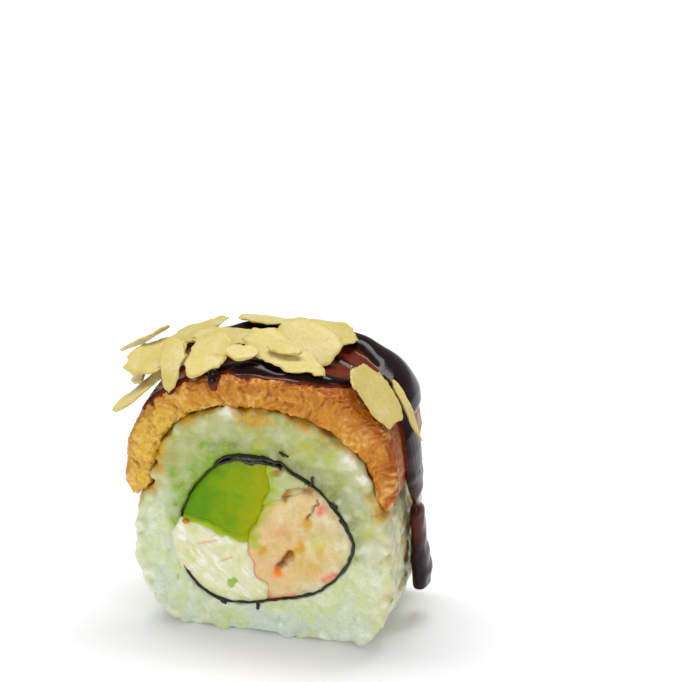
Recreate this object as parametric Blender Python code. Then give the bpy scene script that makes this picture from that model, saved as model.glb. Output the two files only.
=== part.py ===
"""One slice of an uramaki roll: a ring of rice round a nori tube that holds avocado,
shrimp and cream cheese, with an eel fillet and thick sauce over the top and almond flakes
on the sauce.

X is across the slice, Y along the roll and Z up. The front cut faces -Y, and the origin
is on the base, under the middle of the roll.
"""

import itertools
import math

import bmesh
import bpy
import numpy as np
from mathutils import Matrix, Vector, noise
from mathutils.bvhtree import BVHTree

MM = 0.001

# The slice and the gap that touching pieces keep
SLICE_DEPTH = 21.5 * MM
TOUCH_GAP = 0.3 * MM
HALF = SLICE_DEPTH / 2

# Rice, seen on the front cut, anticlockwise from the middle of the base
RICE_RIGHT = (
    (0, 0), (8, 0), (14.5, 0), (19, 1.9), (21.4, 6.6), (21.8, 13), (21.5, 19), (21.2, 23),
)
RICE_DOME = (
    (19.6, 26.6), (18.5, 30.8), (15.8, 35.2), (10.4, 39), (3, 41.2),
    (-5, 41), (-11.5, 38.8), (-15.7, 34.8), (-17.5, 29.8), (-18.4, 25.4),
)
RICE_LEFT = (
    (-20.8, 22.4), (-21.6, 17), (-21.2, 10.5), (-19.4, 4.8), (-15.6, 1.1), (-10.6, 0), (-5, 0),
)
CUT_ROUNDING = 0.7 * MM
RICE_SIDES = 50

# One grain of cooked rice: half its length, width and thickness
GRAIN_RADII = (1.5 * MM, 1.4 * MM, 3.3 * MM)
GRAIN_SINK = 0.7 * MM
GRAIN_OVERHANG = 0.9 * MM
GRAIN_SIZES = (1, 0.8, 0.65)
GRAIN_SPACING = 3.3 * MM
GRAIN_TRIES = 9000
FLANK_SHARE = 0.45
GRAIN_SEED = 7

# Nori: a sheet wrapped once round the fillings, with its outer end lapped over the top
ROLL_CENTRE = np.array((1.0, 18.8)) * MM
NORI_LINE = (
    (15.5, 18.3), (14.2, 22.4), (10.9, 26.9), (6, 30.3), (0.5, 32), (-5.6, 31.4), (-10.6, 26.6),
    (-13.5, 19.6), (-13.3, 12), (-10.6, 7.5), (-4.4, 5.3), (3.4, 7.2), (8.9, 9), (13.2, 12.9),
    (14.9, 15.8),
)
NORI_THICKNESS = 0.5 * MM
NORI_LAP_STEP = 0.75 * MM
NORI_START, NORI_END = math.radians(82), math.radians(82 + 360 + 38)
NORI_RUN_OUT = math.radians(10)
NORI_STATIONS = 76

# The fillings turn and shift a little from the front cut to the back cut
FILLING_TURN = math.radians(-7)
FILLING_SHIFT = np.array((0.5, -0.4)) * MM
FILLING_RIM_POINTS = 12
FILLING_CORNER = 0.5 * MM
AVOCADO_CHEESE = ((-16, 19.1), (-11.6, 19), (-6.1, 17.4), (-3.9, 16.7), (-2.3, 17))
AVOCADO_SHRIMP = ((-2.3, 17), (-1, 20), (0, 22.9), (0.6, 24.2))
AVOCADO_TAIL = ((0.6, 24.2), (1.1, 27.5), (1.3, 33))
SHRIMP_CHEESE = ((-2.3, 17), (-1.9, 14.2), (-0.5, 10.5), (1.5, 7.8), (1.9, 4))
SHRIMP_TAIL = ((0.6, 24.2), (3.4, 26.3), (6.4, 27.7), (8.3, 28.6), (9.5, 30.2))

# Eel fillet: its outer line, and how far its crags stand out
EEL_OUTER = (
    (21.3, 24.4), (22.7, 29.5), (22.4, 35.5), (19.6, 41.2), (14, 45), (6, 46.6), (-3, 46.5),
    (-11, 44.9), (-17.8, 41), (-21.8, 35.2), (-23, 28.4), (-22.3, 21.4),
)
EEL_STATIONS = 46
EEL_CRAG = 0.55 * MM
EEL_CRAG_SIZE = 3.2 * MM

# Sauce: a film with thick strands in it, and a run down the right flank. Each station of
# the run has its place, half its thickness and half its width
SAUCE_FILM = 0.5 * MM
SAUCE_STRAND = 1.2 * MM
SAUCE_STRAND_WIDTH = 2.6 * MM
SAUCE_BURIED = 0.6 * MM
SAUCE_SPAN = (0.16, 0.84)
SAUCE_THINNING = 0.05
SAUCE_STATIONS = 36
SAUCE_ACROSS = 11
RIGHT_RUN = (
    (19.4, -0.8, 41, 0.8, 1.9), (22.2, -0.8, 36.5, 1.0, 2.6), (22.9, -0.6, 33, 1.0, 2.6),
    (23.0, -0.2, 27, 0.9, 1.9), (23.0, 0.6, 21, 0.9, 1.9), (23.2, 1.5, 14, 1.0, 2.3),
    (23.6, 2.1, 8.5, 1.5, 3.2), (23.5, 2.3, 5.6, 1.2, 2.7), (23.3, 2.3, 4.8, 0.4, 1.0),
)
RUN_SIDES = 10
RUN_CLEARANCE = 3.8 * MM

# Almond flakes in the order that they fell: where the middle lies, the turn about the
# vertical, length, width, the share left where the point is broken off, the lean to the
# right of the surface that it lies on, and how far it is tipped towards the front
FLAKE_THICKNESS = 0.9 * MM
FLAKE_WAVE = 0.45 * MM
FLAKE_SIDES = 11
FLAKES = (
    (-15.5, 7.4, 12, 12.0, 7.0, 1.0, -18, 0),
    (-4.5, 8.0, 150, 12.5, 7.0, 1.0, -2, 4),
    (7.5, 6.2, 20, 12.5, 8.0, 0.8, 8, 4),
    (-19.6, -8.0, 35, 12.5, 4.8, 1.0, -30, 20),
    (-20.3, -3.4, -61, 13.0, 3.0, 1.0, -35, 10),
    (-17.4, -2.0, 7, 12.5, 10.2, 0.85, -12, 25),
    (-20.6, 2.4, 172, 11.0, 4.8, 1.0, -20, 10),
    (-8.4, 1.4, -6, 13.0, 6.9, 1.0, -3, 12),
    (6.0, 0.6, -16, 14.5, 9.4, 0.8, 6, 20),
    (2.6, -4.3, -24, 16.5, 6.8, 1.0, 4, 20),
    (2.9, -5.4, -9, 6.5, 3.2, 1.0, 3, 22),
    (-9.0, -3.0, -7, 8.0, 5.0, 0.8, -2, 15),
    (-9.6, -6.0, -107, 10.0, 7.2, 1.0, -5, 20),
    (-14.6, -7.4, -91, 10.6, 4.4, 1.0, -15, 15),
    (-3.5, -6.0, 16, 6.0, 3.6, 0.9, 0, 20),
    (17.7, -6.2, -23, 14.2, 8.8, 0.85, 37, 8),
    (21.5, -2.7, -27, 11.6, 1.9, 1.0, 48, 3),
)


def smooth_line(points, count, closed=True):
    """Returns evenly spaced points on a smooth line through the given ones, in millimetres."""
    knots = np.array(points, float) * MM
    if closed:
        knots = np.vstack([knots[-1:], knots, knots[:2]])
    else:
        knots = np.vstack([2 * knots[0] - knots[1], knots, 2 * knots[-1] - knots[-2]])
    t = np.linspace(0, 1, 16, endpoint=False)[:, None]
    spans = []
    for before, a, b, after in zip(knots, knots[1:], knots[2:], knots[3:]):
        cubic = 3 * (a - b) + after - before
        square = 2 * before - 5 * a + 4 * b - after
        spans.append(a + t / 2 * (b - before + t * (square + t * cubic)))
    fine = np.vstack([*spans, knots[-2:-1]])
    steps = np.linalg.norm(np.diff(fine, axis=0), axis=1)
    travelled = np.concatenate([[0], np.cumsum(steps)])
    stops = np.linspace(0, travelled[-1], count + closed)[:count]
    return np.column_stack([np.interp(stops, travelled, fine[:, axis]) for axis in (0, 1)])


def offset_line(line, distance, closed=True):
    """Returns an anticlockwise line moved outwards."""
    if closed:
        along = np.roll(line, -1, axis=0) - np.roll(line, 1, axis=0)
    else:
        along = np.gradient(line, axis=0)
    along /= np.linalg.norm(along, axis=1)[:, None]
    return line + distance * np.column_stack([along[:, 1], -along[:, 0]])


def radius_at(line, angles):
    """Returns how far a closed line is from the roll's centre at each angle."""
    arms = line - ROLL_CENTRE
    turns = np.arctan2(arms[:, 1], arms[:, 0])
    return np.interp(angles, turns, np.hypot(arms[:, 0], arms[:, 1]), period=2 * math.pi)


def round_centre(radii, angles):
    """Returns the points at these radii and angles round the roll's centre."""
    return ROLL_CENTRE + radii[:, None] * np.column_stack([np.cos(angles), np.sin(angles)])


def drift_at(y):
    """How the fillings lie at depth y, against the front cut: a turn and the centre it is about."""
    share = (y + HALF) / SLICE_DEPTH
    c, s = math.cos(FILLING_TURN * share), math.sin(FILLING_TURN * share)
    return np.array(((c, s), (-s, c))), ROLL_CENTRE + share * FILLING_SHIFT


def drifted(line, y):
    """Returns a filling's outline as it lies at depth y."""
    turn, centre = drift_at(y)
    return (line - ROLL_CENTRE) @ turn + centre


def ring(line, y):
    """Returns a line on the cut as points at depth y."""
    return [Vector((x, y, z)) for x, z in line]


def loft(name, rings, material, closed=False):
    """Skins a row of rings that have equally many points; an open row gets a face at each end."""
    bm = bmesh.new()
    rows = [[bm.verts.new(point) for point in points] for points in rings]
    for near, far in zip(rows, rows[1:] + rows[:1] if closed else rows[1:]):
        for i in range(len(near)):
            bm.faces.new((near[i - 1], near[i], far[i], far[i - 1]))
    if not closed:
        bm.faces.new(rows[0])
        bm.faces.new(rows[-1])
    bmesh.ops.recalc_face_normals(bm, faces=bm.faces)
    if bm.calc_volume(signed=True) < 0:
        bmesh.ops.reverse_faces(bm, faces=bm.faces)
    return part_from(name, bm, material)


def part_from(name, bm, material):
    """Puts a bmesh into the slice's collection as a smooth shaded object."""
    mesh = bpy.data.meshes.new(name)
    bm.to_mesh(mesh)
    bm.free()
    mesh.shade_smooth()
    if material:
        mesh.materials.append(material)
    part = bpy.data.objects.new(name, mesh)
    slice_parts.objects.link(part)
    return part


def food(name, colour, roughness, subsurface=0.0):
    """Makes a plain food material."""
    material = bpy.data.materials.new(name)
    material.use_nodes = True
    shader = material.node_tree.nodes["Principled BSDF"]
    shader.inputs["Base Color"].default_value = (*colour, 1)
    shader.inputs["Roughness"].default_value = roughness
    shader.inputs["Metallic"].default_value = 0
    shader.inputs["Subsurface Weight"].default_value = subsurface
    material.diffuse_color = (*colour, 1)
    return material


def fuse(body, pieces):
    """Joins the pieces to the body, removes them, and keeps the one outer shell."""
    group = bpy.data.collections.new(f"{body.name} pieces")
    bpy.context.scene.collection.children.link(group)
    for piece in pieces:
        for old in piece.users_collection:
            old.objects.unlink(piece)
        group.objects.link(piece)
    union = body.modifiers.new("Union", "BOOLEAN")
    union.operation = "UNION"
    union.operand_type = "COLLECTION"
    union.collection = group
    graph = bpy.context.evaluated_depsgraph_get()
    joined = bpy.data.meshes.new_from_object(body.evaluated_get(graph))
    body.modifiers.remove(union)
    for piece in pieces:
        bpy.data.objects.remove(piece)
    bpy.data.collections.remove(group)
    body.data = outer_shell(joined)
    return body


def outer_shell(mesh):
    """Keeps the largest shell of a mesh, so that sealed hollows are filled and scraps go."""
    bm = bmesh.new()
    bm.from_mesh(mesh)
    unseen = set(bm.verts)
    shells = []
    while unseen:
        front = [unseen.pop()]
        shell = set(front)
        while front:
            found = {edge.other_vert(vert) for vert in front for edge in vert.link_edges} & unseen
            unseen -= found
            shell |= found
            front = list(found)
        shells.append(shell)
    shells.sort(key=len)
    for scrap in shells[:-1]:
        bmesh.ops.delete(bm, geom=list(scrap), context="VERTS")
    bm.to_mesh(mesh)
    bm.free()
    mesh.shade_smooth()
    return mesh


def make_rice(material):
    """The bare ring of rice, with its flat base and the hole that the nori lines."""
    angles = np.linspace(-math.pi, math.pi, RICE_SIDES, endpoint=False)
    outer = round_centre(radius_at(rice_line, angles), angles)
    edge = round_centre(radius_at(offset_line(rice_line, -CUT_ROUNDING), angles), angles)
    outer[outer[:, 1] < 0.1 * MM, 1] = 0
    hole = round_centre(hole_radius(angles), angles)
    middle = (outer + hole) / 2
    rings = [ring(middle, -HALF - 0.1 * MM), ring(edge, -HALF)]
    depths = (-HALF + CUT_ROUNDING, -HALF / 3, HALF / 3, HALF - CUT_ROUNDING)
    rings += [ring(outer, y) for y in depths]
    rings += [ring(edge, HALF), ring(middle, HALF + 0.1 * MM)]
    rings += [ring(drifted(hole, y), y) for y in (HALF, 0, -HALF)]
    return loft("rice", rings, material, closed=True)


def hole_radius(angles):
    """How far the hole in the rice is from the centre: the nori, its lap and the gap."""
    lap = np.zeros(len(angles))
    for turn in (-2, 0, 2):
        from_start = (angles + turn * math.pi - NORI_START) / NORI_RUN_OUT + 1.8
        to_end = (NORI_END - 2 * math.pi - angles - turn * math.pi) / NORI_RUN_OUT + 1.6
        lap = np.maximum(lap, np.clip(np.minimum(from_start, to_end), 0, 1))
    return radius_at(nori_line, angles) + NORI_THICKNESS / 2 + TOUCH_GAP + lap * NORI_LAP_STEP


def make_nori(material):
    """The sheet, whose outer end climbs over its inner end."""
    stations = np.linspace(NORI_START, NORI_END, NORI_STATIONS)
    climb = np.clip((stations - NORI_START - 2 * math.pi) / NORI_RUN_OUT + 1, 0, 1) * NORI_LAP_STEP
    radii = radius_at(nori_line, stations) + climb
    inner = round_centre(radii - NORI_THICKNESS / 2, stations)
    outer = round_centre(radii + NORI_THICKNESS / 2, stations)
    rings = []
    for i, angle in enumerate(stations):
        ripple = 0.25 * MM * noise.noise(Vector((3 * angle, 1.3, 0)))
        depths = [-HALF - 0.15 * MM + ripple, -HALF / 3, HALF / 3, HALF + 0.15 * MM - ripple]
        section = [(inner[i], y) for y in depths] + [(outer[i], y) for y in depths[::-1]]
        rings.append([ring(drifted(point[None], y), y)[0] for point, y in section])
    return loft("nori", rings, material)


def make_filling(name, seams, material, bulge):
    """A strip of filling between its seams and the nori, with rounded edges at both cuts."""
    line = np.vstack([smooth_line(seam, 2 * len(seam), closed=False)[:-1] for seam in seams])
    arms = line - ROLL_CENTRE
    angles = np.arctan2(arms[:, 1], arms[:, 0])
    most = radius_at(nori_line, angles) - NORI_THICKNESS / 2 - TOUCH_GAP
    within = most - np.hypot(arms[:, 0], arms[:, 1]) > FILLING_CORNER
    start, end = angles[within][-1], angles[within][0]
    rim = np.linspace(start, end + (2 * math.pi if end < start else 0), FILLING_RIM_POINTS)
    rim_radii = radius_at(nori_line, rim) - NORI_THICKNESS / 2 - TOUCH_GAP / 2
    line = offset_line(np.vstack([line[within], round_centre(rim_radii, rim)]), -TOUCH_GAP / 2)
    middle = line.mean(axis=0)
    front = ((-HALF - bulge, 0.5), (-HALF - bulge * 0.6, 0.85), (-HALF + 0.3 * MM, 1))
    depths = [*front, (0, 1), *[(-y, size) for y, size in front[::-1]]]
    rings = [ring(drifted(middle + size * (line - middle), y), y) for y, size in depths]
    return loft(name, rings, material)


def eel_lines(count):
    """The fillet's inner line, which follows the rice, and its outer line, from right to left."""
    ends = np.array((RICE_DOME[0], RICE_DOME[-1])) * MM
    first, last = (np.argmin(np.linalg.norm(rice_line - end, axis=1)) for end in ends)
    edge = offset_line(rice_line, TOUCH_GAP)[first : last + 1]
    along = np.linspace(0, len(edge) - 1, count)
    inner = np.column_stack([np.interp(along, range(len(edge)), line) for line in edge.T])
    return inner, smooth_line(EEL_OUTER, count, closed=False)


def make_eel(material):
    """The fillet, draped over the rice, its flesh craggy on the cuts and the upper side."""
    inner, outer = eel_lines(EEL_STATIONS)
    cut = ((0, 0.94), (0.2, 1.01), (0.5, 1.03), (0.82, 1.01), (1, 0.9))
    section = [(height, -depth) for height, depth in cut]
    section += [(1, -0.45), (1, 0), (1, 0.45), *cut[::-1], (0, 0.3), (0, -0.3)]
    rings = []
    for i in range(EEL_STATIONS):
        taper = 0.35 if i in (0, EEL_STATIONS - 1) else 0
        points = []
        for height, depth in section:
            height = height + taper * (0.5 - height)
            x, z = inner[i] + height * (outer[i] - inner[i])
            y = depth * HALF * (1 - 0.25 * taper)
            crag = noise.noise(Vector((x, 2 * y, z)) / EEL_CRAG_SIZE)
            if abs(depth) > 1:
                y += math.copysign(EEL_CRAG * crag, depth)
            elif height > 0.7:
                out = (outer[i] - inner[i]) / np.linalg.norm(outer[i] - inner[i])
                x, z = np.array((x, z)) + 0.5 * EEL_CRAG * crag * out
            points.append(Vector((x, y, z)))
        rings.append(points)
    return loft("eel", rings, material)


def sauce_depths(share):
    """The front and back edge of the sauce at this share of the way over the fillet."""
    wave = 0.5 * MM * math.sin(31 * share)
    bare_shoulder = 7.5 * MM * math.exp(-(((share - 0.24) / 0.08) ** 2))
    return -HALF + 1.3 * MM + wave + bare_shoulder, HALF - 1.0 * MM + wave


def make_sauce():
    """The film of sauce over the fillet, thick along its edges and along two strands."""
    shares = np.linspace(*SAUCE_SPAN, SAUCE_STATIONS)
    _, outer = eel_lines(200)
    places = np.column_stack([np.interp(shares, np.linspace(0, 1, 200), line) for line in outer.T])
    outwards = offset_line(places, 1.0, closed=False) - places
    rings = []
    for share, place, out in zip(shares, places, outwards):
        front, back = sauce_depths(share)
        end = min(1, 0.1 + min(share - SAUCE_SPAN[0], SAUCE_SPAN[1] - share) / SAUCE_THINNING)
        strands = (front + 1.2 * MM, 1.5 * MM + 2.5 * MM * math.sin(9 * share), back - 1.4 * MM)
        points = []
        for step in np.linspace(0, 1, SAUCE_ACROSS):
            y = front + (back - front) * step
            near = min(abs(y - strand) for strand in strands)
            height = SAUCE_FILM + SAUCE_STRAND * math.exp(-((2 * near / SAUCE_STRAND_WIDTH) ** 2))
            height *= end * (1 if 0 < step < 1 else 0.1)
            points.append((y, height))
        points += [(front + (back - front) * step, -SAUCE_BURIED) for step in (1, 0.5, 0)]
        rings.append([Vector((*(place + out * height), y)).xzy for y, height in points])
    return loft("sauce", rings, None)


def make_run(stations):
    """A run of sauce down a flank, as oval rings that end in a drop."""
    rings = []
    for x, y, z, thick, wide in np.array(stations) * MM:
        turns = np.linspace(0, 2 * math.pi, RUN_SIDES, endpoint=False)
        rings.append([Vector((x + thick * math.cos(t), y + wide * math.sin(t), z)) for t in turns])
    return loft("run", rings, None)


def grain_mesh():
    """One grain of rice as a ball of unit radius with few sides."""
    bm = bmesh.new()
    bmesh.ops.create_uvsphere(bm, u_segments=6, v_segments=4, radius=1)
    for vert in bm.verts:
        vert.co.z = min(max(vert.co.z, -0.88), 0.88)
    mesh = bpy.data.meshes.new("grain")
    bm.to_mesh(mesh)
    bm.free()
    return mesh


def grain_fits(points):
    """True where a grain stays above the base and clear of nori, eel and sauce."""
    flat = points[:, (0, 2)]
    turn, centre = drift_at(math.copysign(HALF, points[0, 1]))
    arms = (flat - centre) @ turn.T
    past_hole = np.hypot(arms[:, 0], arms[:, 1]) - hole_radius(np.arctan2(arms[:, 1], arms[:, 0]))
    if points[:, 2].min() < 0.1 * MM or past_hole.min() < TOUCH_GAP:
        return False
    arms = flat - ROLL_CENTRE
    angles = np.arctan2(arms[:, 1], arms[:, 0])
    radii = np.hypot(arms[:, 0], arms[:, 1])
    past_rice = radii - radius_at(rice_line, angles)
    if past_rice.max() > GRAIN_OVERHANG or np.abs(points[:, 1]).max() > HALF + GRAIN_OVERHANG:
        return False
    proud = past_rice > -0.1 * MM
    left, right = proud & (flat[:, 0] < 0), proud & (flat[:, 0] > 0)
    if (flat[left, 1] > EEL_OUTER[-1][1] * MM - 2 * TOUCH_GAP).any():
        return False
    if (flat[right, 1] > EEL_OUTER[0][1] * MM - 2 * TOUCH_GAP).any():
        return False
    under_run = right & (np.abs(points[:, 1] - RIGHT_RUN[5][1] * MM) < RUN_CLEARANCE)
    return not under_run.any()


def grain_places():
    """Yields a place and the outward direction there, over the cuts and the bare flanks."""
    rng = np.random.default_rng(GRAIN_SEED)
    outwards = offset_line(rice_line, 1.0) - rice_line
    for _ in range(GRAIN_TRIES):
        pick = rng.integers(len(rice_line))
        spin = rng.uniform(0, math.pi)
        if rng.random() < FLANK_SHARE:
            place = (rice_line[pick][0], rng.uniform(-HALF + MM, HALF - MM), rice_line[pick][1])
            yield rng, place, (outwards[pick][0], 0, outwards[pick][1]), spin
        else:
            side = rng.choice((-1, 1))
            x, z = ROLL_CENTRE + math.sqrt(rng.uniform(0.3, 1)) * (rice_line[pick] - ROLL_CENTRE)
            yield rng, (x, side * (HALF + 0.25 * MM), z), (0, side, 0), spin


def make_grains():
    """Grains spread evenly over the rice that shows, sunk in it by more than half."""
    mesh = grain_mesh()
    unit = np.array([vert.co for vert in mesh.vertices])
    kept = []
    grains = []
    for rng, place, outwards, spin in grain_places():
        if any(np.linalg.norm(np.array(place) - other) < GRAIN_SPACING for other in kept):
            continue
        out = Vector(outwards)
        long = out.orthogonal().normalized()
        long.rotate(Matrix.Rotation(spin, 3, out))
        turn = Matrix((out.cross(long), out, long)).transposed()
        radii = Vector(GRAIN_RADII) * rng.uniform(0.88, 1.1)
        for size in GRAIN_SIZES:
            shape = turn @ Matrix.Diagonal((radii.x, radii.y, radii.z * size))
            centre = Vector(place) - GRAIN_SINK * out
            centre.z += max(0.0, 0.15 * MM - (unit @ np.array(shape).T)[:, 2].min() - centre.z)
            if grain_fits(unit @ np.array(shape).T + np.array(centre)):
                kept.append(np.array(place))
                grain = bpy.data.objects.new("grain", mesh)
                grain.matrix_world = Matrix.Translation(centre) @ shape.to_4x4()
                grains.append(grain)
                break
    return grains


def flake_outline(length, width, kept):
    """An almond's outline, pointed at +X, and broken off straight past the kept share."""
    turns = np.linspace(0, 2 * math.pi, FLAKE_SIDES, endpoint=False)
    x = length / 2 * np.cos(turns)
    y = width / 2 * np.sin(turns) * (1 - 0.28 * np.cos(turns))
    broken = length / 2 * (2 * kept - 1) - 0.25 * y
    return np.column_stack([np.minimum(x, broken) if kept < 1 else x, y])


def lowest_plane(spots, heights):
    """The plane that lies over all the heights and is lowest at the middle: how a flake rests."""
    best = None
    for three in itertools.combinations(range(len(spots)), 3):
        rows = np.column_stack([spots[list(three)], np.ones(3)])
        if abs(np.linalg.det(rows)) < 1e-8:
            continue
        plane = np.linalg.solve(rows, heights[list(three)])
        if best is not None and plane[2] >= best[2]:
            continue
        if (spots @ plane[:2] + plane[2] >= heights - 1e-7).all():
            best = plane
    return best


def make_flake(name, row, laid, material):
    """A wavy flake of almond, laid on the parts below it, halfway to how it would lie at rest."""
    x, y, turn, length, width, kept, lean, tip = row
    outline = flake_outline(length * MM, width * MM, kept)
    frame = (
        Matrix.Rotation(math.radians(lean), 3, "Y")
        @ Matrix.Rotation(math.radians(tip), 3, "X")
        @ Matrix.Rotation(math.radians(turn), 3, "Z")
    )
    ground, ground_points = ground_of(laid)
    down = frame @ Vector((0, 0, -1))
    start = Vector((x * MM, y * MM, surface_height(ground, x * MM, y * MM)))
    spots = np.vstack([outline * share for share in (0.25, 0.65, 1.04)])
    hits = []
    for spot in spots:
        hit = ground.ray_cast(start + frame @ Vector((*spot, 30 * MM)), down, 60 * MM)[0]
        hits.append((frame.transposed() @ (hit - start)).z if hit else None)
    held = [i for i, height in enumerate(hits) if height is not None]
    plane = lowest_plane(spots[held], np.array([hits[i] for i in held]))
    normal = (Vector((-plane[0], -plane[1], 1)).normalized() + Vector((0, 0, 1))).normalized()
    settle = Vector((0, 0, 1)).rotation_difference(normal).to_matrix()
    seed = Vector((x, y, turn))
    rings = []
    for size, height in ((0.4, 0.5), (0.9, 0.5), (1, 0), (0.9, -0.5), (0.4, -0.5)):
        points = []
        for a, b in outline * size:
            wave = noise.noise(seed + Vector((a, b, 0)) / (5 * MM))
            points.append(Vector((a, b, height * FLAKE_THICKNESS + wave * FLAKE_WAVE)))
        rings.append(points)
    flake = loft(name, rings, material)
    rotation = (frame @ settle).to_4x4()
    flake.matrix_world = Matrix.Translation(start - 20 * MM * down) @ rotation
    drops = [ground.ray_cast(flake.matrix_world @ vert.co, down)[3] for vert in flake.data.vertices]
    above, _ = ground_of([flake])
    near = [point for point in ground_points if (point - start).length < length * MM]
    drops += [above.ray_cast(point, -down)[3] for point in near]
    drop = min(distance for distance in drops if distance) - TOUCH_GAP
    flake.matrix_world = Matrix.Translation(start + (drop - 20 * MM) * down) @ rotation
    return flake


def surface_height(ground, x, y):
    """The height of what lies under a point."""
    hit = ground.ray_cast(Vector((x, y, 0.2)), Vector((0, 0, -1)))[0]
    return hit.z if hit else 0.0


def ground_of(parts):
    """A search tree over these parts as they lie, and their points."""
    bm = bmesh.new()
    for part in parts:
        mesh = part.data.copy()
        mesh.transform(part.matrix_world)
        bm.from_mesh(mesh)
        bpy.data.meshes.remove(mesh)
    tree = BVHTree.FromBMesh(bm)
    points = [vert.co.copy() for vert in bm.verts]
    bm.free()
    return tree, points


for leftover in list(bpy.data.objects):
    bpy.data.objects.remove(leftover)
slice_parts = bpy.data.collections.new("uramaki slice")
bpy.context.scene.collection.children.link(slice_parts)

rice_line = smooth_line(RICE_RIGHT + RICE_DOME + RICE_LEFT, 400)
nori_line = smooth_line(NORI_LINE, 400)

rice = make_rice(food("sushi rice", (0.66, 0.72, 0.55), 0.45, 0.3))
fuse(rice, make_grains())
make_nori(food("nori", (0.012, 0.02, 0.008), 0.5))
green = food("avocado", (0.18, 0.38, 0.01), 0.45)
make_filling("avocado", (AVOCADO_CHEESE, AVOCADO_SHRIMP, AVOCADO_TAIL), green, 0.25 * MM)
white = food("cream cheese", (0.84, 0.86, 0.74), 0.5)
make_filling("cream_cheese", (SHRIMP_CHEESE[::-1], AVOCADO_CHEESE[::-1]), white, 0.1 * MM)
pink = food("boiled shrimp", (0.82, 0.6, 0.38), 0.4, 0.2)
make_filling("shrimp", (SHRIMP_TAIL[::-1], AVOCADO_SHRIMP[::-1], SHRIMP_CHEESE), pink, 0.5 * MM)
make_filling("shrimp_tail", (AVOCADO_TAIL[::-1], SHRIMP_TAIL), pink, 0.3 * MM)
eel = make_eel(food("grilled eel", (0.68, 0.25, 0.05), 0.5))
fuse(eel, [make_sauce(), make_run(RIGHT_RUN)])
almond = food("almond flake", (0.78, 0.68, 0.35), 0.6)
laid = [eel, rice]
for number, row in enumerate(FLAKES, 1):
    laid.append(make_flake(f"almond_flake_{number:02d}", row, laid, almond))
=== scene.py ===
"""The looks of one slice of an uramaki roll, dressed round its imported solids.

Lengths are in metres, and names that end in _MM are in millimetres. X runs across the
slice, Y along the roll and Z up, and the cut that the camera sees faces -Y.
"""

import math

import bmesh
import bpy
import numpy as np
from mathutils import Matrix, Vector, noise
from mathutils.bvhtree import BVHTree

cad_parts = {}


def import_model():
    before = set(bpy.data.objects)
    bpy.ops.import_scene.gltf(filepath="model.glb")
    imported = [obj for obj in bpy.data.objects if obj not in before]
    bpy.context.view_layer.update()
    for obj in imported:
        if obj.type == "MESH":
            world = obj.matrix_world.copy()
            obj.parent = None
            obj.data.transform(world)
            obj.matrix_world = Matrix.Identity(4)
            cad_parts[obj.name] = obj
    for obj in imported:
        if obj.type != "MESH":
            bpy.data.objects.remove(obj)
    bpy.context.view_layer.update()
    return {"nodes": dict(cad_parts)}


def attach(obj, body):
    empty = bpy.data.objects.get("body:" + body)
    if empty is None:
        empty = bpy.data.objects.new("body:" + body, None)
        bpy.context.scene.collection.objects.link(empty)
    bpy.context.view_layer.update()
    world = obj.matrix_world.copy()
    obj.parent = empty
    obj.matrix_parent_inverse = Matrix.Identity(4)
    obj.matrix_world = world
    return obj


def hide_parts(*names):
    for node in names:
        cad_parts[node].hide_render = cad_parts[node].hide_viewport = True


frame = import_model()
MM = 0.001
HALF_SLICE_MM = 10.75


# Camera, floor and light
# The slice stands bare on a white sweep. A long lens looks down on it from its front right.
# Wide soft lights leave only a grey shadow along the foot of the cut.

VIEW_TURN = math.radians(15)
VIEW_HEIGHT = math.radians(26.5)
LENS_MM = 200
SENSOR_MM = 36
PHOTO_WIDTH, PHOTO_HEIGHT = 697, 682
PIXELS_PER_MM = 6.1
CUT_FOOT_PIXEL = (261.5, 634.5)
SWEEP_HALF_M = 3
PAPER_GLOW = 0.06
ROOM_LIGHT = 0.36
# Each softbox in metres: its place, width and height, and its watts. One hangs over the slice
# and a little behind it, one stands low in front, and a small one lights the right side
SOFTBOXES = (
    ((-0.05, 0.13, 0.62), 0.6, 0.2, 3.3),
    ((-0.30, -0.90, 0.22), 0.36, 0.2, 2.6),
    ((0.60, -0.30, 0.35), 0.25, 0.25, 0.5),
)


def linear(code):
    """Turns an sRGB hex colour into a linear one with alpha 1."""
    parts = [int(code[i : i + 2], 16) / 255 for i in (1, 3, 5)]
    return (*[p / 12.92 if p <= 0.04045 else ((p + 0.055) / 1.055) ** 2.4 for p in parts], 1.0)


def add(tree, kind, links=None, **settings):
    """Adds a node. links maps a socket to the output or value that feeds it."""
    node = tree.nodes.new(kind)
    for name, value in settings.items():
        setattr(node, name, value)
    for socket, feed in (links or {}).items():
        if isinstance(feed, bpy.types.NodeSocket):
            tree.links.new(feed, node.inputs[socket])
        else:
            node.inputs[socket].default_value = feed
    return node


def finish_of(name):
    """A new material with its node tree and its shader."""
    material = bpy.data.materials.new(name)
    material.use_nodes = True
    return material, material.node_tree, material.node_tree.nodes["Principled BSDF"]


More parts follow.
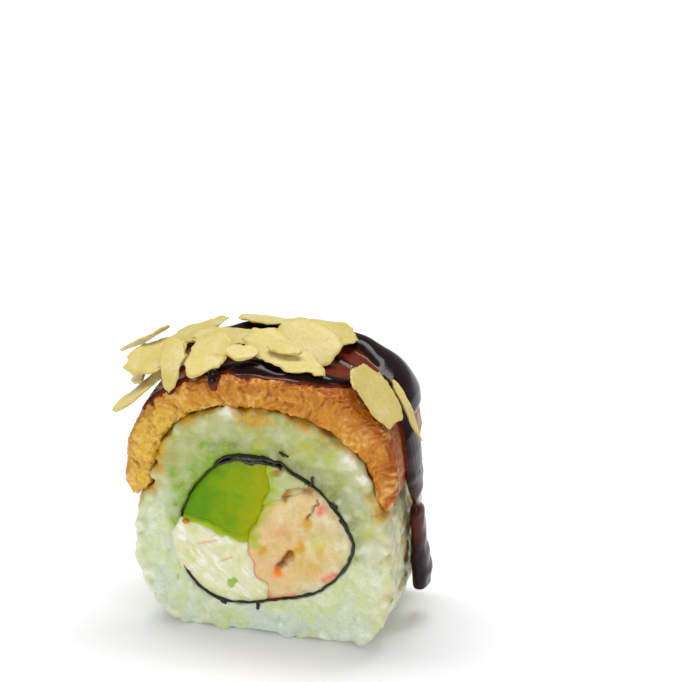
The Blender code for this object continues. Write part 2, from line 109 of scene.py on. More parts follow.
towards = Vector((
    math.sin(VIEW_TURN) * math.cos(VIEW_HEIGHT),
    -math.cos(VIEW_TURN) * math.cos(VIEW_HEIGHT),
    math.sin(VIEW_HEIGHT),
))
rightwards = Vector((math.cos(VIEW_TURN), math.sin(VIEW_TURN), 0))
upwards = towards.cross(rightwards)
aim = Vector((0, -HALF_SLICE_MM * MM, 0))
aim += rightwards * (PHOTO_WIDTH / 2 - CUT_FOOT_PIXEL[0]) / PIXELS_PER_MM * MM
aim += upwards * (CUT_FOOT_PIXEL[1] - PHOTO_HEIGHT / 2) / PIXELS_PER_MM * MM
lens = bpy.data.cameras.new("camera")
lens.lens = LENS_MM
lens.sensor_width = SENSOR_MM
camera = bpy.data.objects.new("camera", lens)
bpy.context.scene.collection.objects.link(camera)
camera.location = aim + towards * (PHOTO_WIDTH / PIXELS_PER_MM * MM * LENS_MM / SENSOR_MM)
camera.rotation_euler = towards.to_track_quat("Z", "Y").to_euler()
bpy.context.scene.camera = camera

bm = bmesh.new()
bmesh.ops.create_grid(bm, x_segments=1, y_segments=1, size=SWEEP_HALF_M)
floor_mesh = bpy.data.meshes.new("sweep")
bm.to_mesh(floor_mesh)
bm.free()
sweep = bpy.data.objects.new("sweep", floor_mesh)
bpy.context.scene.collection.objects.link(sweep)
# Matt white paper. A faint glow of its own lifts it to pure white, so that it shows no edge
paper, tree, shader = finish_of("white paper sweep")
shader.inputs["Base Color"].default_value = linear("#F8F8FB")
shader.inputs["Roughness"].default_value = 0.9
shader.inputs["Emission Color"].default_value = (1, 1, 1, 1)
shader.inputs["Emission Strength"].default_value = PAPER_GLOW
floor_mesh.materials.append(paper)

for place, wide, high, watts in SOFTBOXES:
    glow = bpy.data.lights.new("softbox", "AREA")
    glow.shape = "RECTANGLE"
    glow.size = wide
    glow.size_y = high
    glow.energy = watts
    softbox = bpy.data.objects.new("softbox", glow)
    softbox.location = place
    softbox.rotation_euler = Vector(place).to_track_quat("Z", "Y").to_euler()
    bpy.context.scene.collection.objects.link(softbox)
world = bpy.data.worlds.new("studio")
world.use_nodes = True
room = world.node_tree.nodes["Background"]
room.inputs["Color"].default_value = (1, 1, 1, 1)
room.inputs["Strength"].default_value = ROOM_LIGHT
bpy.context.scene.world = world
bpy.context.scene.view_settings.view_transform = "Standard"


# Nori
# One sheet of pressed, toasted seaweed, rolled round the fillings with its end lapped over
# the top. It is damp in the roll, so its cut edge crinkles, and the knife tore it on the left.

ROLL_CENTRE_MM = Vector((1.0, 0, 18.8))
NORI_STATIONS, NORI_DEPTHS = 420, 52
NORI_THICKNESS_MM = 0.54
NORI_BUCKLE_MM = 0.3
# How far the sheet's edge stands past the cut, and how much more at its lap
NORI_PROUD_MM, LAP_PROUD_MM = 0.25, 0.4
# The lap's two ends as angles round the roll, the height that it rises to and the angle that
# the rise takes. It crinkles most a little past its start, over this angle to each side
NORI_LAP_START, NORI_LAP_END = math.radians(78), math.radians(126)
NORI_LAP_RISE_MM = 0.6
LAP_STEP = 0.12
LAP_CRINKLE, LAP_CRINKLE_REACH = 0.4, 0.55
# The middle and half width of the tear in the front edge, and of the stretch where the knife
# dragged avocado over that edge, so that it hardly shows
NORI_TEAR = math.radians(191), math.radians(17)
NORI_TEAR_DEPTH_MM = 1.5
NORI_SMEARED = math.radians(154), math.radians(26)
# The solid sheet is measured this far inside each cut
PROBE_INSET_MM = 0.6
# Bits that the knife tore off the edge: where they stick to the cut, their length, and their
# lie in degrees. Each is a row of small lumps
NORI_SHREDS = (
    (-0.5, 5.3, 1.7, -80),
    (14.0, 22.6, 1.6, -60),
    (4.2, 34.0, 1.5, -25),
    (8.7, 29.8, 1.3, 70),
    (12.5, 25.6, 1.2, -40),
    (2.6, 32.2, 1.2, 35),
    (-6.2, 5.2, 1.0, -60),
)
SHRED_BITS = 6
SHRED_PROUD_MM = 0.12
NORI_FIBRES_PER_MM = 0.9
# The sockets of a Mix node that mixes colours
FACTOR, FIRST, SECOND, RESULT = 0, 6, 7, 2


def tree_of(mesh):
    """A search tree over a mesh, in millimetres."""
    bm = bmesh.new()
    bm.from_mesh(mesh)
    bmesh.ops.scale(bm, vec=(1 / MM,) * 3, verts=bm.verts)
    tree = BVHTree.FromBMesh(bm)
    bm.free()
    return tree


def solid_of(node):
    """A search tree over one solid of the frame, in millimetres."""
    return tree_of(frame["nodes"][node].data)


def reach(solid, centre, angle, depth, outwards):
    """How far a solid's inner or outer side is from a line along the roll."""
    way = Vector((math.cos(angle), 0, math.sin(angle)))
    start = Vector((centre.x, depth, centre.z))
    far = 80
    if outwards:
        return solid.ray_cast(start, way)[3] or 0.0
    return far - (solid.ray_cast(start + far * way, -way)[3] or far)


def ripple(points, size, seed=0.0):
    """Smooth noise from about -1 to 1 at each point, with features of this size in millimetres."""
    return np.array([noise.noise(point) for point in points / size + seed])


def skin(bm, points, wrap=False):
    """A closed skin over a grid of points in millimetres: each row is a loop round the shape.

    The rows' ends meet, and so do the first and last row where the shape wraps. Otherwise
    these two have to shrink to a point or a line.
    """
    rows, columns, _ = points.shape
    grid = bmesh.ops.create_grid(bm, x_segments=columns, y_segments=rows - (not wrap), size=1)
    if wrap:
        points = np.concatenate([points, points[:1]])
    points = np.concatenate([points, points[:, :1]], axis=1).reshape(-1, 3)
    for vert, point in zip(grid["verts"], points):
        vert.co = Vector(point) * MM
    bmesh.ops.remove_doubles(bm, verts=grid["verts"], dist=0.002 * MM)
    bmesh.ops.recalc_face_normals(bm, faces=bm.faces)


def ball(bm, middle, halves, turn=None):
    """An ellipsoid at a place, with its half axes in millimetres, turned by a matrix."""
    turn = (turn or Matrix.Identity(3)).to_4x4()
    shape = Matrix.Translation(middle) @ turn @ Matrix.Diagonal((*halves, 1))
    verts = bmesh.ops.create_icosphere(bm, subdivisions=2, radius=1)["verts"]
    bmesh.ops.transform(bm, matrix=Matrix.Scale(MM, 4) @ shape, verts=verts)


def piece_of(mesh, name, material, slot, *nodes):
    """Shows a mesh as a piece that stands for these solids of the frame."""
    if isinstance(mesh, bmesh.types.BMesh):
        bm, mesh = mesh, bpy.data.meshes.new(name)
        bm.to_mesh(mesh)
        bm.free()
    mesh.name = name
    mesh.materials.clear()
    mesh.materials.append(material)
    mesh.shade_smooth()
    piece = bpy.data.objects.new(name, mesh)
    bpy.context.scene.collection.objects.link(piece)
    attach(piece, "root")
    if nodes:
        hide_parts(*nodes)
    return piece


nori_solid = solid_of("nori")
nori_angles = np.linspace(NORI_LAP_START, NORI_LAP_END + 2 * math.pi, NORI_STATIONS)
nori_depths = np.linspace(-1, 1, NORI_DEPTHS)
round_angles = np.linspace(0, 2 * math.pi, 180, endpoint=False)
end_radii = []
# A median over its neighbours drops the solid's corners, and a mean rounds what is left
for end in (-HALF_SLICE_MM + PROBE_INSET_MM, HALF_SLICE_MM - PROBE_INSET_MM):
    radii = np.array([reach(nori_solid, ROLL_CENTRE_MM, angle, end, True) for angle in round_angles])
    radii = np.median([np.roll(radii, step) for step in range(-6, 7)], axis=0)
    radii = np.mean([np.roll(radii, step) for step in range(-2, 3)], axis=0)
    end_radii.append(radii + NORI_THICKNESS_MM / 2)


def nori_radius(angle, depth):
    """How far the middle of the sheet's first turn is from the roll's centre."""
    front, back = (np.interp(angle, round_angles, radii, period=2 * math.pi) for radii in end_radii)
    return front + (back - front) * (depth / HALF_SLICE_MM + 1) / 2


sections = []
for angle in nori_angles:
    turned = angle - NORI_LAP_START
    under, over = turned, turned - 2 * math.pi
    lap = sum(max(0, 1 - abs(turn - LAP_CRINKLE) / LAP_CRINKLE_REACH) for turn in (over, under))
    rise = min(1, max(0, over / LAP_STEP + 1)) * NORI_LAP_RISE_MM
    torn = NORI_TEAR_DEPTH_MM * max(0, 1 - (abs(angle - NORI_TEAR[0]) / NORI_TEAR[1]) ** 6)
    out = Vector((math.cos(angle), 0, math.sin(angle)))
    seed = Vector((math.cos(angle) * 8, math.sin(angle) * 8, turned))
    sides = []
    for side in (-1, 1):
        line = []
        for share in nori_depths * side:
            depth = share * (HALF_SLICE_MM + NORI_PROUD_MM + LAP_PROUD_MM * min(1, lap))
            depth += torn * max(0, -share) ** 3
            depth *= 1 + 0.03 * noise.noise(seed * 0.9 + Vector((9, 0, math.copysign(4, share))))
            here = seed + Vector((0, 0, depth / 3))
            buckle = NORI_BUCKLE_MM * (noise.noise(here * 0.7) + 0.6 * noise.noise(here * 1.9))
            buckle *= 1 + 1.3 * lap
            swollen = 1.1 * abs(noise.noise(here * 0.7 + Vector((3, 3, 3))))
            swollen += 0.3 * max(0, math.cos(angle)) ** 2
            smeared = 0.6 * max(0, 1 - abs(angle - NORI_SMEARED[0]) / NORI_SMEARED[1])
            half = NORI_THICKNESS_MM / 2 * (0.8 + swollen + 1.1 * lap - smeared)
            radius = nori_radius(angle, depth) + rise + buckle + side * half * (1 - share**30)
            place = ROLL_CENTRE_MM + out * radius
            line.append((place.x, depth, place.z))
        sides += line
    sections.append(sides)
sections = np.array(sections)
for end in (0, -1):
    sections[end][NORI_DEPTHS:] = sections[end][:NORI_DEPTHS][::-1]
bm = bmesh.new()
skin(bm, sections)
for x, z, length, lie in NORI_SHREDS:
    along = Vector((math.cos(math.radians(lie)), 0, math.sin(math.radians(lie)))) * length / SHRED_BITS
    for bit in range(SHRED_BITS):
        stray = Vector([noise.noise(Vector((x, z, bit / 3 + row))) for row in (0, 4, 8)])
        place = Vector((x, -HALF_SLICE_MM - SHRED_PROUD_MM, z))
        place += along * (bit - SHRED_BITS / 2) + stray * 0.4
        ball(bm, place, (0.24 + 0.16 * abs(stray.x), 0.22, 0.2 + 0.14 * abs(stray.z)))

# Toasted seaweed is a black green with paler fibres about 1 mm apart, and its damp edge has
# a dull gloss
seaweed, tree, shader = finish_of("damp toasted seaweed sheet")
spot = add(tree, "ShaderNodeTexCoord")
links = {"Vector": spot.outputs["Object"], "Scale": NORI_FIBRES_PER_MM / MM, "Detail": 4.0}
fibres = add(tree, "ShaderNodeTexNoise", links)
links = {FACTOR: fibres.outputs["Fac"], FIRST: linear("#0A0C04"), SECOND: linear("#2C3214")}
tint = add(tree, "ShaderNodeMix", links, data_type="RGBA")
tree.links.new(tint.outputs[RESULT], shader.inputs["Base Color"])
shader.inputs["Roughness"].default_value = 0.35
links = {"Height": fibres.outputs["Fac"], "Strength": 0.5, "Distance": 0.3 * MM}
dents = add(tree, "ShaderNodeBump", links)
tree.links.new(dents.outputs["Normal"], shader.inputs["Normal"])
piece_of(bm, "nori_sheet", seaweed, "nori", "nori")


# Rice
# Short-grain rice, boiled, seasoned and pressed round the nori while warm. The grains keep
# their shape on the outside, but the knife smears them flat on the cuts.

RICE_STATIONS = 160
RICE_CELL_MM = 0.32
RICE_SMOOTHING = 6
GRAIN_HALF_MM = (1.3, 1.15, 2.75)
GRAIN_SIZES = 0.85, 1.12
GRAIN_TILT = 0.3
GRAIN_SPACING_MM = 2.05
GRAIN_TRIES = 16000
# The share of the tries that fall on the cuts, the others being on the flanks, and how far
# these keep off the hole, the rim and the cuts
CUT_TRIES = 0.55
HOLE_CLEAR_MM, RIM_CLEAR_MM, CUT_CLEAR_MM = 0.7, 0.6, 0.5
# How deep the grains sit in the flanks and the cuts, and how far they may stand past the rim
# of a cut or into its hole
FLANK_SINK_MM = (0.8, 1.2)
CUT_SINK_MM = (0.85, 1.25)
GRAIN_PAST_MM = 0.3
# The mass behind the grains lies this far inside their outline and the cuts
CORE_SINK_MM, CORE_INSET_MM = 0.55, 0.2
CORE_ROWS = 9
# Within this half width the slice's foot is pressed flat, with no grains standing out
FLAT_BASE_MM = 10.5
# Past this plane the knife pressed the grains back, by this share
KNIFE_PLANE_MM = HALF_SLICE_MM + 0.05
KNIFE_PRESS = 0.6
# The foot is level at this height, and between grains runs a painted seam shade this wide, as
# a share of their size
FOOT_MM = 0.02
SEAM_WIDTH = 0.35
# White grains that stand out between the rice and the eel: place, half length, lie in degrees
WHITE_GRAINS = ((-5.4, 40.5, 1.3, 80), (15.0, 34.4, 1.5, -50), (17.0, 31.4, 1.2, -65))
# Yellow stains of the eel's juice on the cut, and green ones that the knife dragged off the
# avocado: the place and size of each. Mustard lies in one wide patch under the eel
JUICE_STAINS = ((0.0, 35.6, 1.6), (7.4, 35.4, 2.0), (11.6, 34.6, 1.4), (18.2, 21.2, 1.4))
GREEN_STAINS = (
    (-8.2, 31.0, 2.2),
    (-11.0, 28.4, 1.9),
    (-13.4, 25.4, 1.8),
    (-14.6, 22.4, 1.2),
    (-14.4, 28.2, 1.0),
    (-5.6, 33.4, 1.2),
    (-0.6, 34.0, 1.0),
    (16.1, 16.6, 0.6),
    (-9.6, 33.8, 0.9),
)
MUSTARD_STAIN = (-0.8, 39.7), (2.8, 1.3)
# Grit in soft foods is drawn about 0.5 mm wide, coarser than the real one, so that it shows.
# Its flecks, painted shade in its dents, start at the first of these heights of the noise and are full at
# the second
GRIT_PER_MM = 1.8
FLECK_FROM, FLECK_FULL = 0.52, 0.36

rice_solid = solid_of("rice")
# Turned a little, so that no ray goes along an edge of the solid, where it would slip through
rice_angles = 0.01 + np.linspace(0, 2 * math.pi, RICE_STATIONS, endpoint=False)
between_grains = np.linspace(-0.8, 0.8, 17) * HALF_SLICE_MM
rice_radii = np.array([
    min(reach(rice_solid, ROLL_CENTRE_MM, angle, depth, False) for depth in between_grains)
    for angle in rice_angles
])
rice_radii = sum(np.roll(rice_radii, step) for step in (-1, 0, 1)) / 3


def rice_outline(angle):
    """How far the bare rice reaches from the roll's centre, without the grains that stand out."""
    return np.interp(angle, rice_angles, rice_radii, period=2 * math.pi)


def hole_outline(angle, depth):
    """How far the hole in the rice reaches: to the middle of the sheet, or of its lap."""
    turned = (angle - NORI_LAP_START) % (2 * math.pi)
    lapped = turned < NORI_LAP_END - NORI_LAP_START
    return nori_radius(angle, depth) + 0.05 + lapped * NORI_LAP_RISE_MM


def at(angle, radius, depth):
    """The place at an angle and radius round the roll's centre, and a depth."""
    return ROLL_CENTRE_MM + Vector((math.cos(angle) * radius, depth, math.sin(angle) * radius))


def grain_places(rng):
    """Evenly spread places, each with its outward direction, over the cuts and the flanks."""
    kept = []
    for _ in range(GRAIN_TRIES):
        angle = rng.uniform(0, 2 * math.pi)
        edge = rice_outline(angle)
        if rng.random() < CUT_TRIES:
            side = rng.choice((-1, 1))
            hole = hole_outline(angle, side * HALF_SLICE_MM) + HOLE_CLEAR_MM
            radius = math.sqrt(rng.uniform(hole**2, (edge - RIM_CLEAR_MM) ** 2))
            place, out = at(angle, radius, side * HALF_SLICE_MM), Vector((0, side, 0))
        else:
            depth = rng.uniform(-1, 1) * (HALF_SLICE_MM - CUT_CLEAR_MM)
            place = at(angle, edge, depth)
            ahead, behind = (at(near, rice_outline(near), 0) for near in (angle + 0.06, angle - 0.06))
            slope = ahead - behind
            out = Vector((slope.z, 0, -slope.x)).normalized()
        gaps = np.linalg.norm(np.array(kept).reshape(-1, 3) - np.array(place), axis=1)
        if gaps.min(initial=GRAIN_SPACING_MM) < GRAIN_SPACING_MM:
            continue
        kept.append(tuple(place))
        yield place, out


def fine_mesh(bm, cell, smoothing=1):
    """Fuses closed shapes that overlap into one mesh of even small faces."""
    rough = bpy.data.meshes.new("rough")
    bm.to_mesh(rough)
    bm.free()
    carrier = bpy.data.objects.new("rough", rough)
    bpy.context.scene.collection.objects.link(carrier)
    fusing = carrier.modifiers.new("Remesh", "REMESH")
    fusing.mode = "VOXEL"
    fusing.voxel_size = cell * MM
    softening = carrier.modifiers.new("Smooth", "SMOOTH")
    softening.iterations = smoothing
    finished = carrier.evaluated_get(bpy.context.evaluated_depsgraph_get())
    mesh = bpy.data.meshes.new_from_object(finished)
    bpy.data.objects.remove(carrier)
    bpy.data.meshes.remove(rough)
    return mesh


def points_of(mesh):
    """The mesh's points in millimetres, one row each."""
    flat = np.empty(len(mesh.vertices) * 3, np.float32)
    mesh.vertices.foreach_get("co", flat)
    return flat.reshape(-1, 3) / MM


def normals_of(mesh):
    """The direction that the surface faces at each point."""
    flat = np.empty(len(mesh.vertices) * 3, np.float32)
    mesh.vertex_normals.foreach_get("vector", flat)
    return flat.reshape(-1, 3)


def move_to(mesh, points):
    """Moves the mesh's points to these places in millimetres."""
    mesh.vertices.foreach_set("co", (points * MM).astype(np.float32).ravel())
    mesh.update()


def record(mesh, name, values):
    """Stores one number a point, from 0 to 1, for the material to read."""
    numbers = np.clip(values, 0, 1).astype(np.float32)
    mesh.attributes.new(name, "FLOAT", "POINT").data.foreach_set("value", numbers)


def gap_to(points, *nodes):
    """How far each point is from the nearest of these solids, in millimetres."""
    solids = [solid_of(node) for node in nodes]
    return np.array([min(solid.find_nearest(Vector(point))[3] for solid in solids) for point in points])


def spread(points, place, size):
    """1 at a place, fading with distance over this size in millimetres."""
    return np.exp(-((np.linalg.norm(points - np.array(place), axis=1) / size) ** 2))


def stained(points, stains):
    """1 at these stains on the cut that the camera sees, each fading over its size."""
    marks = [spread(points, (x, -HALF_SLICE_MM, z), size) for x, z, size in stains]
    return np.maximum.reduce(marks)


def food(name, ground, coats, roughness, glow_mm, glow_tint, sheen=0.5, grit_mm=0.0, soak=0.5, fleck=None):
    """A moist food that light sinks into: a ground colour, and coats that recorded numbers lay over it.

    soak is the share of the light that sinks in, and glow_mm how far it spreads. grit_mm is
    how deep the fine grit dents the surface, and flecks of one more colour lie in the dents as
    painted shade.
    """
    material, tree, shader = finish_of(name)
    colour = linear(ground)
    shader.inputs["Base Color"].default_value = colour
    for attribute, code in coats:
        strength = add(tree, "ShaderNodeAttribute", attribute_name=attribute)
        links = {FACTOR: strength.outputs["Fac"], FIRST: colour, SECOND: linear(code)}
        colour = add(tree, "ShaderNodeMix", links, data_type="RGBA").outputs[RESULT]
    shader.inputs["Roughness"].default_value = roughness
    shader.inputs["Specular IOR Level"].default_value = sheen
    shader.inputs["Subsurface Weight"].default_value = soak
    shader.inputs["Subsurface Radius"].default_value = glow_tint
    shader.inputs["Subsurface Scale"].default_value = glow_mm * MM
    if grit_mm:
        spot = add(tree, "ShaderNodeTexCoord")
        links = {"Vector": spot.outputs["Object"], "Scale": GRIT_PER_MM / MM, "Detail": 3.0}
        grit = add(tree, "ShaderNodeTexNoise", links)
        links = {"Height": grit.outputs["Fac"], "Strength": 1.0, "Distance": grit_mm * MM}
        dents = add(tree, "ShaderNodeBump", links)
        tree.links.new(dents.outputs["Normal"], shader.inputs["Normal"])
        # Flecks: one more colour where the grit dents, painted shade in the dents
        if fleck:
            code, most = fleck
            links = {"Value": grit.outputs["Fac"], "From Min": FLECK_FROM, "From Max": FLECK_FULL}
            low = add(tree, "ShaderNodeMapRange", {**links, "To Max": most}).outputs["Result"]
            links = {FACTOR: low, FIRST: colour, SECOND: linear(code)}
            colour = add(tree, "ShaderNodeMix", links, data_type="RGBA").outputs[RESULT]
    if coats:
        tree.links.new(colour, shader.inputs["Base Color"])
    return material


rng = np.random.default_rng(11)
bm = bmesh.new()
core = []
for angle in rice_angles:
    edge = rice_outline(angle) - CORE_SINK_MM
    depths = np.linspace(-1, 1, CORE_ROWS) * (HALF_SLICE_MM - CORE_INSET_MM)
    outside = [at(angle, edge, depth) for depth in depths]
    inside = [at(angle, hole_outline(angle, depth), depth) for depth in depths[::-1]]
    core.append(outside + inside)
skin(bm, np.array(core), wrap=True)
grain_shapes, grain_middles = [], []
for place, out in grain_places(rng):
    if abs(place.x - ROLL_CENTRE_MM.x) < FLAT_BASE_MM and out.z < -0.9:
        continue
    lie = out.orthogonal().normalized()
    lie.rotate(Matrix.Rotation(rng.uniform(0, math.pi), 3, out))
    lie = (lie + out * rng.uniform(-GRAIN_TILT, GRAIN_TILT)).normalized()
    side = out.cross(lie).normalized()
    halves = Vector(GRAIN_HALF_MM) * rng.uniform(*GRAIN_SIZES)
    shape = Matrix((side * halves.x, lie.cross(side) * halves.y, lie * halves.z)).transposed()
    middle = place - out * rng.uniform(*(CUT_SINK_MM if out.y else FLANK_SINK_MM))
    arm = Vector((middle.x - ROLL_CENTRE_MM.x, 0, middle.z - ROLL_CENTRE_MM.z))
    turned = math.atan2(arm.z, arm.x)
    hole = hole_outline(turned, middle.y)
    length = (shape.transposed() @ arm.normalized()).length
    if out.y:
        middle -= arm.normalized() * max(0, arm.length + length - rice_outline(turned) - GRAIN_PAST_MM)
    middle += arm.normalized() * max(0, hole + length - arm.length - GRAIN_PAST_MM)
    grain_shapes.append(shape)
    grain_middles.append(middle)
    ball(bm, middle, (1, 1, 1), shape)
for x, z, half, lie in WHITE_GRAINS:
    turn = Matrix.Rotation(-math.radians(lie), 3, "Y")
    ball(bm, (x, -HALF_SLICE_MM + 0.1, z), (half, 0.7, 0.7), turn)
mesh = fine_mesh(bm, RICE_CELL_MM, RICE_SMOOTHING)

points = points_of(mesh)
past = np.abs(points[:, 1]) - KNIFE_PLANE_MM
points[:, 1] -= np.sign(points[:, 1]) * np.maximum(past, 0) * KNIFE_PRESS
near_cut = np.abs(points[:, 1]) > HALF_SLICE_MM - 1
points[:, 1] += np.sign(points[:, 1]) * near_cut * 0.22 * ripple(points, 5.0, 3)
points[:, 2] = np.maximum(points[:, 2], FOOT_MM)
move_to(mesh, points)

# Each point takes the tone of its nearest grain, and a painted seam shade where the next one is as near.
# How far a grain's shell is, squared, is a quadratic of the place, so one product of matrices
# gives it for every point and grain
forms = np.array([np.array((shape @ shape.transposed()).inverted()) for shape in grain_shapes])
middles = np.array(grain_middles)
pull = np.einsum("nij,nj->ni", forms, middles)
weights = np.column_stack([
    forms[:, (0, 1, 2), (0, 1, 2)],
    2 * forms[:, (0, 0, 1), (1, 2, 2)],
    -2 * pull,
    np.einsum("ni,ni->n", pull, middles),
]).T
tones = rng.random(len(middles))
tone, seam_shade = np.zeros(len(points)), np.zeros(len(points))
for start in range(0, len(points), 20000):
    some = slice(start, start + 20000)
    x, y, z = points[some].T
    terms = np.column_stack([x * x, y * y, z * z, x * y, x * z, y * z, x, y, z, np.ones(len(x))])
    shells = np.sqrt(np.maximum(terms @ weights, 0))
    nearest = np.argpartition(shells, 1, axis=1)[:, :2]
    two = np.sort(np.take_along_axis(shells, nearest, axis=1), axis=1)
    tone[some] = tones[np.argmin(shells, axis=1)]
    seam_shade[some] = 1 - (two[:, 1] - two[:, 0]) / SEAM_WIDTH
to_nori, to_eel = gap_to(points, "nori"), gap_to(points, "eel")
# Colour drifts over the cut: mint at the foot, straw on the right, a darker olive higher up, and painted
# shade near the upper nori
foot = spread(points * (0.7, 0.3, 1), (-1.4, -3.2, 1), 5.5)
record(mesh, "mint", 0.3 + ripple(points, 4.5, 21) + 0.8 * foot)
record(mesh, "lime", 0.3 + 1.1 * ripple(points, 5.0, 41) + 0.5 * ripple(points, 1.6, 43))
# Paler grains and painted highlights: pale at the cores of some grains and in patches, less so near the top
paler = tone**3 * 0.3 + np.maximum(ripple(points, 1.6, 51) - 0.14, 0)
record(mesh, "paleness_and_highlight", paler * (1 - 0.55 * np.clip((points[:, 2] - 24) / 8, 0, 1)))
record(mesh, "straw", (points[:, 0] - 17) / 7 + 0.5 * ripple(points, 3.0, 61))
# Painted shade in the seams between grains: a greyer green where two grains meet
record(mesh, "seam_shade", np.maximum(seam_shade, 0) * (0.06 + 0.4 * ripple(points, 3.0, 71)))
upper = np.clip((points[:, 2] - 14) / 8, 0, 1) * np.clip((points[:, 0] + 12) / 6, 0, 1)
# A darker olive towards the top of the cut
record(mesh, "olive_upper", np.clip((points[:, 2] - 19) / 12, 0, 1) * (0.92 + 0.65 * ripple(points, 3.5, 73)))
record(mesh, "shade", np.exp(-((to_nori / 2.8) ** 2)) * upper * (1.1 + 0.9 * ripple(points, 2.2, 75)))
# Stains: avocado rubbed off round its corner and in specks, juice and mustard from the eel
rubbed = 1.15 - gap_to(points, "avocado") / 2.5 + 0.9 * ripple(points, 2.0, 5)
rubbed = np.maximum(rubbed, 0) * np.clip(-points[:, 0] / 3, 0, 1)
specks = np.maximum(ripple(points, 1.5, 81) - 0.5, 0) * 4 * np.maximum(0.6 + ripple(points, 7.0, 83), 0)
patchy = 1.0 + 0.9 * ripple(points, 1.3, 85)
record(mesh, "smear", np.maximum.reduce([rubbed, 0.8 * specks, stained(points, GREEN_STAINS) * patchy]))
record(mesh, "juice", 0.8 * stained(points, JUICE_STAINS) * patchy)
rim = np.maximum(1.2 - to_eel / 2.4, 0) * (0.5 + 1.6 * ripple(points, 2.6, 91))
(x, z), (wide, high) = MUSTARD_STAIN
patch = np.exp(-(((points[:, 0] - x) / wide) ** 2) - ((points[:, 2] - z) / high) ** 2)
record(mesh, "mustard", np.maximum(rim, patch * (points[:, 1] < 0) * (patchy + 0.5)))
marks = [spread(points, (x, -HALF_SLICE_MM - 0.3, z), half + 0.2) for x, z, half, _ in WHITE_GRAINS]
record(mesh, "white", np.maximum.reduce(marks) * (0.9 + 0.8 * ripple(points, 1.0, 95)))

# Boiled rice is milky: light sinks in and blurs the grains, and the starch gives a wet sheen
RICE_COATS = (
    ("mint", "#D0DED2"),
    ("lime", "#D2DC98"),
    ("straw", "#DCD2A2"),
    ("olive_upper", "#ACB05A"),
    ("seam_shade", "#B0BA8C"),
    ("shade", "#868C40"),
    ("paleness_and_highlight", "#EEF2E0"),
    ("smear", "#86AA00"),
    ("juice", "#BABC38"),
    ("mustard", "#CA9A00"),
    ("white", "#EEF0DE"),
)
boiled_rice = food(
    "boiled short-grain rice, pressed and seasoned",
    "#D4DCB6",
    RICE_COATS,
    roughness=0.3,
    glow_mm=1.5,
    glow_tint=(1.0, 0.95, 0.7),
    sheen=0.45,
    grit_mm=0.09,
    fleck=("#B8C490", 0.3),
)
piece_of(mesh, "rice_grains", boiled_rice, "rice", "rice")


# Fillings
# Strips of avocado, cream cheese and boiled shrimp that run the length of the roll, cut
# through with one stroke of a wet knife. Each presses against its neighbours and the nori.

FILLING_CELL_MM = 0.24
# How far a filling presses into the nori and into its neighbour, how far it swells at most to
# reach them, and how far its outline sways
NORI_PRESS_MM, NEIGHBOUR_PRESS_MM = 0.2, 0.16
SWELL_LIMIT_MM = 0.8
SWAY_MM = 0.9


def fine_copy(node, cell):
    """A copy of a solid of the frame, in even small faces."""
    bm = bmesh.new()
    bm.from_mesh(frame["nodes"][node].data)
    bmesh.ops.remove_doubles(bm, verts=bm.verts, dist=0.005 * MM)
    return fine_mesh(bm, cell)


def pressed(mesh, *others):
    """The mesh's points once it has swelled to meet the nori and these fillings, and swayed."""
    points, normals = points_of(mesh), normals_of(mesh)
    to_nori, to_others = gap_to(points, "nori"), gap_to(points, *others)
    swell = np.where(to_nori < to_others, to_nori + NORI_PRESS_MM, to_others / 2 + NEIGHBOUR_PRESS_MM)
    normals[:, 1] = 0
    sway = np.column_stack([ripple(points, 2.6, 100), np.zeros(len(points)), ripple(points, 2.6, 200)])
    sway *= (SWAY_MM * np.clip(to_nori / 2, 0, 1))[:, None]
    return points + np.minimum(swell, SWELL_LIMIT_MM)[:, None] * normals + sway


def facing_of(mesh):
    """1 on the cut that faces back, -1 on the one that faces the camera, and near 0 between."""
    return normals_of(mesh)[:, 1] ** 3


def track(points, corners, waver=0.45):
    """How far each point is, seen along the roll, from a wavering line through these corners."""
    flat = points[:, (0, 2)] + waver * np.column_stack([ripple(points, 0.9, seed) for seed in (31, 57)])
    nearest = np.full(len(flat), np.inf)
    for start, end in zip(corners, corners[1:]):
        run = np.subtract(end, start)
        share = np.clip((flat - start) @ run / (run @ run), 0, 1)
        nearest = np.minimum(nearest, np.linalg.norm(flat - start - share[:, None] * run, axis=1))
    return nearest


def line_of(points, lines, width, waver=0.45):
    """1 on some lines across the cut, fading with distance over this width in millimetres."""
    return np.maximum.reduce([np.exp(-((track(points, line, waver) / width) ** 2)) for line in lines])


# Ripe avocado: buttery, leaf green near the skin and yellow towards the stone, which here
# lies towards the cheese and the shrimp. The knife leaves faint smears on it.
mesh = fine_copy("avocado", FILLING_CELL_MM)
facing = facing_of(mesh)
points = points_of(mesh)
below, beside = gap_to(points, "cream_cheese"), gap_to(points, "shrimp", "shrimp_tail")
points = pressed(mesh, "cream_cheese", "shrimp", "shrimp_tail")
knife = ripple(points * (1, 1, 0.6), 2.2) * 0.25 + ripple(points, 0.9, 4) * 0.12
points[:, 1] += facing * (knife - 0.25 * np.exp(-(((below - 1.9) / 0.35) ** 2)))
move_to(mesh, points)
wander = 0.5 * ripple(points, 1.8, 15)
record(mesh, "band", 1.6 - (below + wander) / 1.2)
# Painted shade: a darker green along the groove pressed in about 1.9 mm from the cheese
record(mesh, "groove_shade", np.exp(-(((below + wander - 1.9) / 0.5) ** 2)) * 0.3)
record(mesh, "ochre", 1.25 - (beside + 2 * wander) / 2.8)
cloud = 0.6 * ripple(points * (1, 0.4, 1), 2.6, 2) + 0.25 * ripple(points, 0.9, 5)
record(mesh, "cloud", (points[:, 0] + 9.5) / 7 + cloud)
